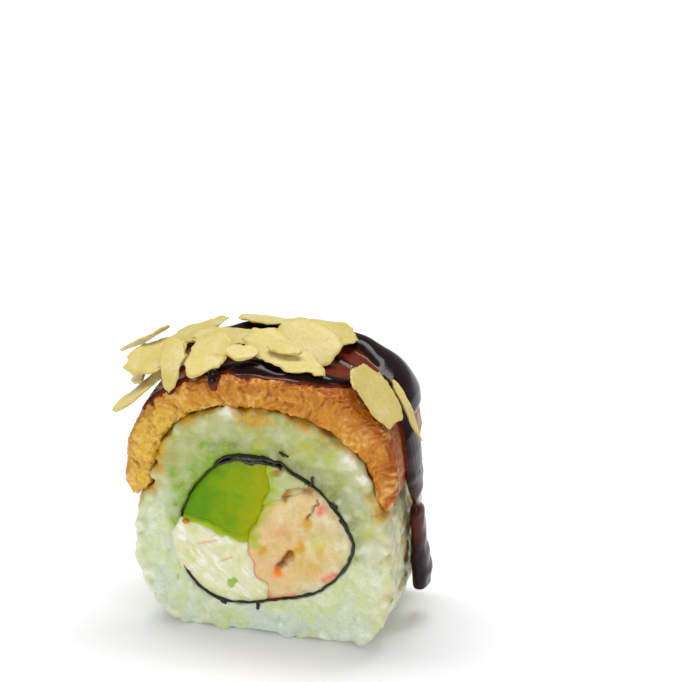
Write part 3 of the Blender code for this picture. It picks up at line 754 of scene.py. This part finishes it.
# Fat makes the flesh look deep and even, with hardly any shine
avocado_flesh = food(
    "ripe avocado flesh, cut",
    "#629800",
    (("cloud", "#8EA600"), ("groove_shade", "#547A00"), ("band", "#A8C000"), ("ochre", "#A4A800")),
    roughness=0.34,
    glow_mm=0.8,
    glow_tint=(0.8, 1.0, 0.2),
    sheen=0.12,
    grit_mm=0.06,
)
piece_of(mesh, "avocado_strip", avocado_flesh, "avocado", "avocado")

# Cream cheese: white, soft and dense. The knife drags it over the torn edge of the nori on
# the left, and leaves streaks of what it cut before: two pink ones and a fleck of avocado.
PINK_STREAKS = ((-10.6, 15.6), (-7.4, 16.6)), ((-6.8, 12.9), (-4.9, 13.9))
AVOCADO_FLECK = (-5.1, 8.9), (-4.6, 9.6)
SMEAR_OVER_NORI = ((-12.6, 11.6), (-13.1, 13.2), (-13.3, 15.0), (-13.3, 16.8), (-13.0, 18.4))
SMEAR_HALF_MM = (1.5, 0.75, 1.5)
CHEESE_SMOOTHING = 3
bm = bmesh.new()
bm.from_mesh(frame["nodes"]["cream_cheese"].data)
bmesh.ops.remove_doubles(bm, verts=bm.verts, dist=0.005 * MM)
for x, z in SMEAR_OVER_NORI:
    ball(bm, (x, -HALF_SLICE_MM + 0.5, z), SMEAR_HALF_MM)
mesh = fine_mesh(bm, FILLING_CELL_MM, CHEESE_SMOOTHING)
facing = facing_of(mesh)
points = pressed(mesh, "avocado", "shrimp")
# Both patterns are turned along the knife's stroke and drawn out along it
drag = ripple(points @ np.array(((0.5, 0, -0.9), (0, 1, 0), (1.6, 0, 1.0))).T, 2.2)
points[:, 1] += facing * (0.25 * drag + 0.1 * ripple(points, 1.0, 7))
move_to(mesh, points)
streaks = ripple(points @ np.array(((0.45, 0, -0.4), (0, 1, 0), (3.2, 0, 3.2))).T, 2.0, 9)
record(mesh, "streak", (streaks - 0.28) * 2.6 * (points[:, 2] > 12 + 2 * ripple(points, 2.0)))
record(mesh, "pink", 0.7 * line_of(points, PINK_STREAKS, 0.22, 0.12))
record(mesh, "tinge", 0.4 + 1.2 * ripple(points, 2.6, 19))
# Painted highlights: near-white streaks along the knife's drag
record(mesh, "cream", 2.2 * (streaks + 0.1) * (0.5 + ripple(points, 1.8, 23)))
record(mesh, "fleck", 1.9 - track(points, AVOCADO_FLECK) * 2.2)
# Dense fat and milk scatter all light, so it is an opaque white with a soft, even shine
CHEESE_COATS = (
    ("tinge", "#D8DE98"),
    ("streak", "#E2D08C"),
    ("cream", "#FAFAF0"),
    ("pink", "#E0A468"),
    ("fleck", "#8CB800"),
)
cheese = food(
    "cream cheese, dragged by a knife",
    "#E6E4C0",
    CHEESE_COATS,
    roughness=0.36,
    glow_mm=1.0,
    glow_tint=(1.0, 1.0, 0.8),
    grit_mm=0.05,
    fleck=("#D4D69A", 0.4),
)
piece_of(mesh, "cream_cheese_strip", cheese, "cream_cheese", "cream_cheese")

# Boiled shrimp: firm, cream coloured flesh in bundles that part along creases, with the
# dark vein in one of them and a thin pink skin on its outside. All these lie on the cut.
VEINS = (((5.0, 15.8), (4.2, 14.8), (3.3, 13.7), (3.0, 12.5)),)
CRACKS = (((9.8, 26.4), (9.2, 25.2), (8.7, 24.2), (8.1, 22.6)),)
FOLDS = (((8.1, 22.6), (7.1, 19.4), (7.0, 17.3), (6.2, 16.8), (5.0, 15.9)), ((0.2, 15.7), (0.7, 16.0)))
TOP_FOLDS = (((4.2, 26.2), (4.7, 27.3), (6.5, 28.0), (9.2, 28.2)), ((1.2, 29.4), (2.6, 30.5), (3.8, 31.0)))
RED_SPOTS = ((10.2, 25.0), (10.1, 24.4), (10.8, 12.0), (11.6, 12.6), (12.3, 13.1))
AMBER_STAINS = ((11.0, 16.4, 1.8), (8.3, 14.3, 2.0))
# Its colours reach four times as deep as wide: depths count a quarter, which puts the cut here
CUT_DEPTH_MM = -2.6


def shrimp_mesh(node, *others):
    """One bundle of shrimp flesh with its creases, vein and skin."""
    mesh = fine_copy(node, FILLING_CELL_MM)
    facing = facing_of(mesh)
    skin_gap = gap_to(points_of(mesh), "cream_cheese", "nori")
    green_gap = gap_to(points_of(mesh), "avocado")
    points = pressed(mesh, *others)
    crack, fold = line_of(points, CRACKS, 0.22), line_of(points, FOLDS, 0.8)
    vein, top_fold = line_of(points, VEINS, 0.5), line_of(points, TOP_FOLDS, 0.4)
    lumps = 0.45 * ripple(points, 3.4, 3) + 0.16 * ripple(points, 1.1, 6)
    points[:, 1] += facing * (lumps - 0.6 * crack - 0.5 * fold - 0.9 * vein - 0.6 * top_fold)
    move_to(mesh, points)
    cut = points * (1, 0.25, 1)
    rough = 0.7 + 0.6 * ripple(points, 1.6, 12)
    low = np.clip((13 - points[:, 2]) / 5, 0, 1)
    # Ivory on the right and low down: pale flesh, partly painted highlight
    record(mesh, "ivory_and_highlight", (points[:, 0] - 7.0) / 5 + low * 1.2 + 1.3 * ripple(points, 2.4, 12))
    # Painted highlights: pale patches that stand for the shine of wet flesh
    record(mesh, "gloss_highlight", 1.3 * ripple(points * (1, 1, 0.6), 2.2, 16) - 0.1 + 0.06 * (points[:, 0] - 7))
    # Painted shade: darker patches that stand for hollows in the flesh, more so low down
    record(mesh, "hollow_shade", -1.4 * ripple(points * (1, 1, 0.6), 1.9, 18) - 0.3 - 0.3 * low)
    rose = 0.6 * spread(cut, (1.6, CUT_DEPTH_MM, 12.6), 3.6) * rough
    record(mesh, "rose", rose + 0.5 * spread(cut, (10.6, CUT_DEPTH_MM, 24.6), 2.0))
    record(mesh, "peach", 0.9 * spread(cut * (0.8, 1, 1), (4.3 * 0.8, CUT_DEPTH_MM, 19.2), 2.0) * rough)
    record(mesh, "lime", 0.9 * spread(cut, (9.4, CUT_DEPTH_MM, 18.3), 1.9) * rough)
    amber = [spread(cut, (x, CUT_DEPTH_MM, z), size) for x, z, size in AMBER_STAINS]
    record(mesh, "amber", np.maximum(1.2 * np.maximum.reduce(amber) * rough, 1.1 * fold))
    # The crack's dark line is painted shade in it
    record(mesh, "crack", crack * 1.2 * rough)
    # The top folds take the vein's dark colour as painted shade in their creases
    top_fold *= np.clip(1.3 - (points[:, 0] - 4) / 8, 0, 1)
    record(mesh, "vein", np.maximum(vein, top_fold) * (rough + 0.3))
    record(mesh, "ember", 1.4 * spread(cut, (3.0, CUT_DEPTH_MM, 12.2), 0.8))
    spots = np.maximum.reduce([spread(cut, (x, CUT_DEPTH_MM, z), 0.7) for x, z in RED_SPOTS])
    edge = np.exp(-((skin_gap / 0.75) ** 2)) * (rough + 0.4) * (points[:, 0] < 6) * (points[:, 2] < 24)
    record(mesh, "skin", np.maximum(edge, spots))
    record(mesh, "green", 1.3 - (green_gap + 1.4 * ripple(points, 1.6, 38)) / 1.9)
    return mesh


# Boiled flesh is half clear and wet: light glows peach in it, and its lumps shine, with painted pale and
# dark patches adding to their highlights and shade
SHRIMP_COATS = (
    ("ivory_and_highlight", "#DAD2A0"),
    ("hollow_shade", "#D0B068"),
    ("rose", "#E8B48C"),
    ("peach", "#E6A464"),
    ("lime", "#D2D66C"),
    ("amber", "#DCAE2C"),
    ("gloss_highlight", "#ECE0BC"),
    ("crack", "#7A5010"),
    ("vein", "#8A4400"),
    ("ember", "#FA8A00"),
    ("skin", "#EE7460"),
    ("green", "#A8B810"),
)
shrimp_flesh = food(
    "boiled shrimp, cut across",
    "#E4CA8E",
    SHRIMP_COATS,
    roughness=0.28,
    glow_mm=0.9,
    glow_tint=(1.0, 0.6, 0.35),
    sheen=0.3,
    grit_mm=0.05,
    soak=0.4,
    fleck=("#CDA860", 0.3),
)
body = shrimp_mesh("shrimp", "cream_cheese", "avocado", "shrimp_tail")
piece_of(body, "shrimp_body", shrimp_flesh, "shrimp", "shrimp")
# The thin end is paler, and green where the avocado shows through it
tail_flesh = food(
    "boiled shrimp, pale end",
    "#BCC688",
    (("peach", "#CCCA7C"), ("gloss_highlight", "#DDE0B4"), ("vein", "#B06A08"), ("green", "#A6BC10")),
    roughness=0.28,
    glow_mm=0.9,
    glow_tint=(1.0, 0.7, 0.4),
    sheen=0.3,
    grit_mm=0.05,
    soak=0.4,
)
piece_of(shrimp_mesh("shrimp_tail", "avocado", "shrimp"), "shrimp_end", tail_flesh, "shrimp", "shrimp_tail")


# Eel
# A fillet of glazed, grilled eel, draped over the rice. Its moist flakes tear where it is
# cut, and it is golden inside and browner towards the glaze.

ARCH_CENTRE_MM = Vector((0, 0, 22))
EEL_FROM, EEL_TO = math.radians(9), math.radians(178)
EEL_STATIONS, EEL_ROUND = 130, 44
EEL_CELL_MM = 0.22
# The power that squares its section: 1 is an ellipse, and nearer 0 is a box
EEL_SQUARENESS = 0.3
# Its inner side sinks this far into the rice, and its back right flank is drawn in this far
EEL_HUG_MM = 0.5
EEL_DRAWN_MM = 0.9
# It tapers over this many stations at each end
EEL_TAPER = 5
# The solid is measured at this depth, where no sauce covers it
BARE_DEPTH_MM = -9.9

eel_solid = solid_of("eel")
eel_angles = np.linspace(EEL_FROM, EEL_TO, EEL_STATIONS)
eel_inner = np.array([reach(eel_solid, ARCH_CENTRE_MM, a, BARE_DEPTH_MM, True) for a in eel_angles])
eel_outer = np.array([reach(eel_solid, ARCH_CENTRE_MM, a, BARE_DEPTH_MM, False) for a in eel_angles])
held = eel_inner > 0
eel_angles, eel_inner, eel_outer = eel_angles[held], eel_inner[held] - EEL_HUG_MM, eel_outer[held]
# The outer side, evened out over its neighbours, which the sauce follows
even = np.convolve(np.pad(eel_outer, 4, "edge"), np.ones(9) / 9, "valid")


def eel_place(angle, across, depth, outer=eel_outer):
    """The place in the fillet at an angle, a share of its thickness and a depth."""
    inner, outer = np.interp(angle, eel_angles, eel_inner), np.interp(angle, eel_angles, outer)
    radius = inner + across * (outer - inner)
    return ARCH_CENTRE_MM + Vector((math.cos(angle) * radius, depth, math.sin(angle) * radius))


bm = bmesh.new()
arch = []
for i, angle in enumerate(eel_angles):
    taper = math.sqrt(min(1, min(i, len(eel_angles) - 1 - i) / EEL_TAPER))
    section = []
    for turn in np.linspace(0, 2 * math.pi, EEL_ROUND, endpoint=False):
        c, s = math.cos(turn), math.sin(turn)
        across = 0.5 + 0.51 * taper * math.copysign(abs(c) ** EEL_SQUARENESS, c)
        depth = HALF_SLICE_MM * math.copysign(abs(s) ** EEL_SQUARENESS, s) * (0.9 + 0.1 * taper)
        section.append(eel_place(angle, across, depth))
    arch.append(section)
skin(bm, np.array(arch))
mesh = fine_mesh(bm, EEL_CELL_MM)

points, normals = points_of(mesh), normals_of(mesh)
arms = points - np.array(ARCH_CENTRE_MM)
angles = np.arctan2(arms[:, 2], arms[:, 0])
inner, outer = np.interp(angles, eel_angles, eel_inner), np.interp(angles, eel_angles, eel_outer)
thick = outer - inner
across = (np.hypot(arms[:, 0], arms[:, 2]) - inner) / thick
# The flesh tears into lumps and thin ridges. They are strongest on the cuts and fade on the
# flanks, which blister under the glaze
cut = np.clip(1.6 * np.abs(normals[:, 1]) + 1.1 - (HALF_SLICE_MM - np.abs(points[:, 1])) / 2.6, 0, 1)
round_arch = angles * 25 + 2.6 * ripple(points, 3.0, 7)
through = across * thick * 0.7 + 1.2 * ripple(points, 2.2, 3)
bent = np.column_stack([round_arch, points[:, 1], through])
fine = bent * (1, 1, 0.6) + 0.4 * ripple(points, 0.9, 9)[:, None]
torn = 0.2 * ripple(bent, 2.2) + 0.3 * (0.35 - np.abs(ripple(fine, 1.1, 5)) * 1.9)
torn += 0.22 * (0.3 - np.abs(ripple(fine, 0.6, 6)) * 1.9) + 0.5 * ripple(points, 4.2, 2)
turn = np.degrees(angles)
drawn = EEL_DRAWN_MM * np.clip((points[:, 1] - 2) / 6, 0, 1) * np.clip((40 - turn) / 15, 0, 1)
blister = 0.18 * ripple(points, 1.6, 4) + 0.12 * ripple(points, 0.75, 8)
points += normals * (cut * torn + (1 - cut) * blister - drawn)[:, None]
move_to(mesh, points)
record(mesh, "gold", (turn - 112) / 30 + 0.6 * ripple(points, 2.5, 14) + np.maximum(0.4 - across, 0) * 2.2)
record(mesh, "rust", (58 - turn) / 45 + 1.1 * (across - 0.55) + 0.4 * ripple(points, 2.5, 24))
record(mesh, "browned", (across - 0.72) * 2.2 + 0.5 * ripple(points, 1.4, 34))
# Painted highlights: paler where the torn flesh stands up in ridges
record(mesh, "ridge_highlight", 1.2 * torn + 1.3 * ripple(fine, 0.8, 44) + 0.05)
# Painted shade: darker where the torn flesh dips
record(mesh, "hollow_shade", -0.1 - 1.4 * torn + 0.7 * ripple(fine, 0.8, 64))
back = np.clip((np.abs(points[:, 1] + 1) - 4) / -5 + 1, 0, 1)
record(mesh, "glazed", (1 - cut) * back * (0.85 + 0.4 * ripple(points, 2.0, 54)))
# Oily flesh: golden on the left, rust brown towards the glaze, with painted highlights on its
# ridges and painted shade in its hollows. Its torn surface breaks the shine up
EEL_COATS = (
    ("rust", "#BC6400"),
    ("gold", "#E4BC44"),
    ("browned", "#A85004"),
    ("ridge_highlight", "#F0C064"),
    ("hollow_shade", "#A05004"),
    ("glazed", "#8A4006"),
)
eel_flesh = food(
    "grilled eel flesh under a browned glaze",
    "#D28C16",
    EEL_COATS,
    roughness=0.3,
    glow_mm=0.6,
    glow_tint=(1.0, 0.5, 0.2),
    sheen=0.3,
    grit_mm=0.16,
    soak=0.25,
    fleck=("#A65A08", 0.3),
)
eel_piece = piece_of(mesh, "eel_fillet", eel_flesh, "eel", "eel")


# Sauce
# Thick, sweet soy glaze, poured over the eel. It stands up in rounded strands, thins to a
# red-brown film between them, and runs down the right flank into a drop.

# Where it covers the arch, in degrees, and how far from the middle it reaches along the roll
SAUCE_FROM, SAUCE_TO = 33.4, 141
SAUCE_REACH_MM = 10.2
SAUCE_STATIONS, SAUCE_DEPTHS = 220, 84
SAUCE_CELL_MM = 0.22
SAUCE_SMOOTHING = 7
# How far its skin stands over the strands' own height, past their edges, and below the eel's
# surface, so that it closes within the fish
SAUCE_LIFT_MM, SAUCE_LAP_MM, SAUCE_SUNK_MM = 0.12, 0.15, 1.6
# Strands over the eel: the angle round the arch, the depths of the two edges and the height
FRONT_STRAND = (
    (48, -1.6, 1.6, 1.0),
    (55, -1.6, 1.4, 0.9),
    (58, -4.4, -2.0, 0.9),
    (61, -7.0, -4.2, 1.0),
    (66, -8.6, -5.4, 1.1),
    (72, -9.1, -4.7, 1.2),
    (77, -9.2, -4.0, 1.3),
    (86, -9.2, -3.6, 1.4),
    (96, -9.2, -4.0, 1.3),
    (104, -8.9, -5.4, 1.1),
    (110, -9.1, -6.8, 0.9),
    (116, -9.5, -7.6, 0.7),
    (127, -10.1, -8.3, 0.5),
    (137, -10.0, -8.6, 0.35),
    (142, -9.6, -9.0, 0),
)
MIDDLE_STRAND = (
    (55, -1.6, 0.0, 0.5),
    (62, -0.8, 0.7, 0.6),
    (70, 0.2, 1.8, 0.6),
    (80, 0.2, 2.2, 0.7),
    (92, -0.8, 1.4, 0.8),
    (104, -2.4, 0.2, 0.8),
    (116, -3.4, -1.4, 0.8),
    (126, -3.2, -1.6, 0.7),
    (133, -2.8, -2.0, 0),
)
BACK_STRAND = (
    (33, 2.5, 5.5, 0),
    (35.5, -0.5, 8.2, 1.3),
    (39, -2.3, 9.6, 1.7),
    (44, -2.6, 10.0, 1.8),
    (49, -0.4, 10.2, 1.8),
    (54, 2.8, 10.3, 1.7),
    (62, 4.7, 10.3, 1.6),
    (75, 5.8, 10.2, 1.3),
    (90, 6.2, 10.0, 1.1),
    (110, 6.4, 10.0, 1.0),
    (122, 6.4, 9.9, 0.9),
    (132, 6.9, 9.4, 0.8),
    (140, 7.6, 8.8, 0),
)
STRANDS = (FRONT_STRAND, MIDDLE_STRAND, BACK_STRAND)
# The film between them, and the angles over which it thins out to the left
FILM_MM = 0.2
FILM_END = 112, 124
# The run down the right flank, from its start on the shoulder to its drop: each station's
# place, half its thickness and half its width
RIGHT_RUN_MM = (
    (19.4, -0.8, 41, 0.8, 1.9),
    (22.2, -1.6, 36.5, 1.1, 3.8),
    (22.9, -1.8, 33, 1.2, 4.2),
    (23.2, -1.4, 29, 1.2, 3.6),
    (23.3, -0.5, 26, 1.1, 2.6),
    (23.2, 0.1, 23.4, 0.8, 1.8),
    (23.1, 0.6, 22.0, 0.6, 1.2),
    (23.2, 0.8, 20.6, 1.1, 2.3),
    (23.4, 1.2, 17, 1.2, 2.6),
    (23.5, 1.5, 13.5, 1.3, 2.8),
    (23.8, 2.1, 8.7, 1.6, 3.3),
    (23.7, 2.3, 6.2, 1.4, 2.9),
    (23.4, 2.3, 4.8, 0.0, 0.0),
)
RUN_STEPS, RUN_SIDES = 8, 16
# Drops that hang over the front edge: place and half width
SAUCE_DROPS_MM = (
    (-7.7, -9.7, 46.0, 1.2),
    (-7.7, -10.3, 45.2, 1.0),
    (-7.6, -10.4, 44.5, 0.8),
    (-14.8, -10.4, 42.4, 0.6),
)
# The glaze keeps its thin colour up to this distance from the eel, and takes its dark one
# over this much more
CLEAR_MM, CLOUDING_MM = 0.24, 0.35


def strand_at(degrees, stations, seed):
    """The depths of a strand's edges and its height at this angle of the arch."""
    turns, *columns = np.array(stations).T
    front, back, height = (np.interp(degrees, turns, column, 0, 0) for column in columns)
    wander = [noise.noise(Vector((degrees / size, seed, size))) for size in (8, 9, 10)]
    return front - 0.4 * wander[0], back + 0.4 * wander[1], height * (1 + 0.4 * wander[2])


def sauce_heights(degrees, depths):
    """How high the sauce stands on the eel at these depths in millimetres; below 0 there is none."""
    edges = [strand_at(degrees, stations, seed) for seed, stations in enumerate(STRANDS)]
    film_left = np.interp(degrees, FILM_END, (1, 0)) * min(1, (degrees - SAUCE_FROM) / 8)
    ripples = np.array([noise.noise(Vector((degrees / 4, depth / 2, 2))) for depth in depths])
    inside = np.minimum(depths - edges[0][0], edges[2][1] - depths)
    heights = np.where(inside > 0, FILM_MM + 0.2 * ripples + 0.8 * (film_left - 1), -1)
    for front, back, height in edges:
        share = (2 * depths - front - back) / max(back - front, 0.01)
        dome = height * np.maximum(1 - share**2, 0) ** 0.7
        heights = np.where(dome > 0, np.maximum(heights, dome), heights)
    return heights


bm = bmesh.new()
coat = []
for degrees in np.linspace(SAUCE_FROM, SAUCE_TO, SAUCE_STATIONS):
    angle = math.radians(degrees)
    out = Vector((math.cos(angle), 0, math.sin(angle)))
    edges = [strand_at(degrees, stations, seed) for seed, stations in enumerate(STRANDS)]
    spans = np.array([edge[:2] for edge in edges if edge[2] > 0.02])
    first = max(spans.min() - SAUCE_LAP_MM, -SAUCE_REACH_MM)
    last = min(spans.max() + SAUCE_LAP_MM, SAUCE_REACH_MM)
    depths = np.linspace(first, last, SAUCE_DEPTHS)
    rises = sauce_heights(degrees, depths) + SAUCE_LIFT_MM
    top = [eel_place(angle, 1, depth, even) + out * rise for depth, rise in zip(depths, rises)]
    bottom = [eel_place(angle, 1, depth, even) - out * SAUCE_SUNK_MM for depth in depths[::-1]]
    coat.append(top + bottom)
coat = np.array(coat)
coat[[0, -1]] = coat[[0, -1]].mean(axis=1, keepdims=True)
skin(bm, coat)
stations = range(len(RIGHT_RUN_MM))
between = np.linspace(0, stations[-1], RUN_STEPS * len(RIGHT_RUN_MM))
run = np.column_stack([np.interp(between, stations, column) for column in np.array(RIGHT_RUN_MM).T])
run[0, 3:] = 0
turns = np.linspace(0, 2 * math.pi, RUN_SIDES, endpoint=False)
skin(bm, np.array([
    [(x + half * math.cos(t), y + wide * math.sin(t), z) for t in turns]
    for x, y, z, half, wide in run
]))
for x, y, z, half in SAUCE_DROPS_MM:
    ball(bm, (x, y, z), (half, half * 0.6, half * 1.2))
mesh = fine_mesh(bm, SAUCE_CELL_MM, SAUCE_SMOOTHING)
points = points_of(mesh)
wobble = 0.25 * ripple(points, 2.2, 5) * (points[:, 2] < 30)
points += normals_of(mesh) * wobble[:, None]
move_to(mesh, points)
eel_surface = tree_of(eel_piece.data)
thickness = np.array([eel_surface.find_nearest(Vector(point))[3] for point in points])
record(mesh, "depth", (thickness - CLEAR_MM) / CLOUDING_MM)
record(mesh, "thin", np.exp(-(((points[:, 2] - 20) / 5) ** 2)) * (0.8 + 0.8 * ripple(points, 2.0, 15)))
# Syrup: nearly black where it is thick and red-brown where it is thin, with a wet, clear gloss
glaze = food(
    "thick sweet soy glaze",
    "#70240A",
    (("depth", "#1A0403"), ("thin", "#5A200A")),
    roughness=0.16,
    glow_mm=0.5,
    glow_tint=(1.0, 0.3, 0.1),
    sheen=0.22,
    soak=0.3,
)
sauce_piece = piece_of(mesh, "sauce", glaze, "eel")


# Almond flakes
# Blanched almonds, planed into thin slices. They are dry and waxy, ivory coloured, and their
# rims are crisp and chipped.

FLAKE_CELL_MM = 0.19
# Each is thinner than its solid by twice this, a little wider, and bent
FLAKE_THINNING_MM = 0.22
FLAKE_SPREAD = 1.04
FLAKE_BEND_MM = 0.5
# Chips along the rim: how deep and how long. They are shallower where the flake's half width
# is less than this
FLAKE_CHIPS_MM = ((0.7, 2.8), (0.3, 0.9))
WIDE_FLAKE_MM = 3
# How far it settles at most onto what lies below, and how far it then sinks in
FLAKE_DROP_LIMIT_MM = 0.4
FLAKE_SINK_MM = 0.1
# Each flake's tone is this much further on than the last one's, round from 1 to 0
TONE_STEP = 0.618

bm = bmesh.new()
flake_nodes = sorted(name for name in frame["nodes"] if name.startswith("almond_flake"))
flake_tones = []
laid = [tree_of(eel_piece.data), tree_of(sauce_piece.data)]
down = Vector((0, 0, -1))
for number, node in enumerate(flake_nodes):
    mesh = fine_copy(node, FLAKE_CELL_MM)
    points = points_of(mesh)
    middle = points.mean(axis=0)
    level = np.linalg.svd(points - middle, full_matrices=False)[2]
    flat = (points - middle) - np.outer((points - middle) @ level[2], level[2])
    halves = np.abs(flat @ level[:2].T).max(axis=0)
    chip = sum(
        deep * np.column_stack([ripple(points, long, seed + number) for seed in (1, 12, 23)])
        for deep, long in FLAKE_CHIPS_MM
    )
    chip *= min(1, halves[1] / WIDE_FLAKE_MM)
    chip -= np.outer(chip @ level[2], level[2])
    points += chip + (FLAKE_SPREAD - 1) * flat - FLAKE_THINNING_MM * normals_of(mesh)
    points += np.outer(FLAKE_BEND_MM * ripple(flat + middle, 6.0, 70 + number), level[2])
    falls = [tree.ray_cast(Vector(point), down)[3] for point in points for tree in laid]
    drop = min((fall for fall in falls if fall is not None), default=0)
    points[:, 2] -= min(drop, FLAKE_DROP_LIMIT_MM) + FLAKE_SINK_MM
    move_to(mesh, points)
    laid.append(tree_of(mesh))
    bm.from_mesh(mesh)
    rim = np.linalg.norm(flat @ level[:2].T / halves, axis=1)
    flake_tones.append(np.column_stack([np.full(len(points), (number * TONE_STEP) % 1), rim]))
    bpy.data.meshes.remove(mesh)
mesh = bpy.data.meshes.new("almond_flakes")
bm.to_mesh(mesh)
bm.free()
tone, rim = np.concatenate(flake_tones).T
points = points_of(mesh)
record(mesh, "tone", tone)
record(mesh, "rim", (rim - 0.72) * 2.2 + 0.3 * ripple(points, 1.5, 3))
record(mesh, "heart", 0.2 + 0.7 * ripple(points, 3.0, 8) + 0.3 * ripple(points, 1.0, 9))
# Almond is dry and waxy: ivory, yellower at the rim and paler at heart, with a satin surface
almond = food(
    "blanched almond, planed thin",
    "#D0BF6C",
    (("tone", "#D8C87E"), ("heart", "#DED09A"), ("rim", "#C8B45C")),
    roughness=0.42,
    glow_mm=0.6,
    glow_tint=(1.0, 0.85, 0.4),
    sheen=0.3,
    grit_mm=0.04,
    soak=0.4,
    fleck=("#C2AC58", 0.3),
)
piece_of(mesh, "almond_flakes", almond, "almond", *flake_nodes)


# Crumb
# A carrot-red crumb that the knife carried over the cut. It sticks at the left corner of
# the avocado.

CRUMB_PLACE_MM = (-12.6, -HALF_SLICE_MM - 0.15, 19.5)
CRUMB_HALF_MM = (0.6, 0.35, 0.45)

bm = bmesh.new()
ball(bm, CRUMB_PLACE_MM, CRUMB_HALF_MM)
# Moist and orange, with a dull shine
crumb = food("carrot-red crumb", "#E07A18", (), roughness=0.4, glow_mm=0.6, glow_tint=(1.0, 0.5, 0.2))
piece_of(bm, "crumb", crumb, "shrimp")
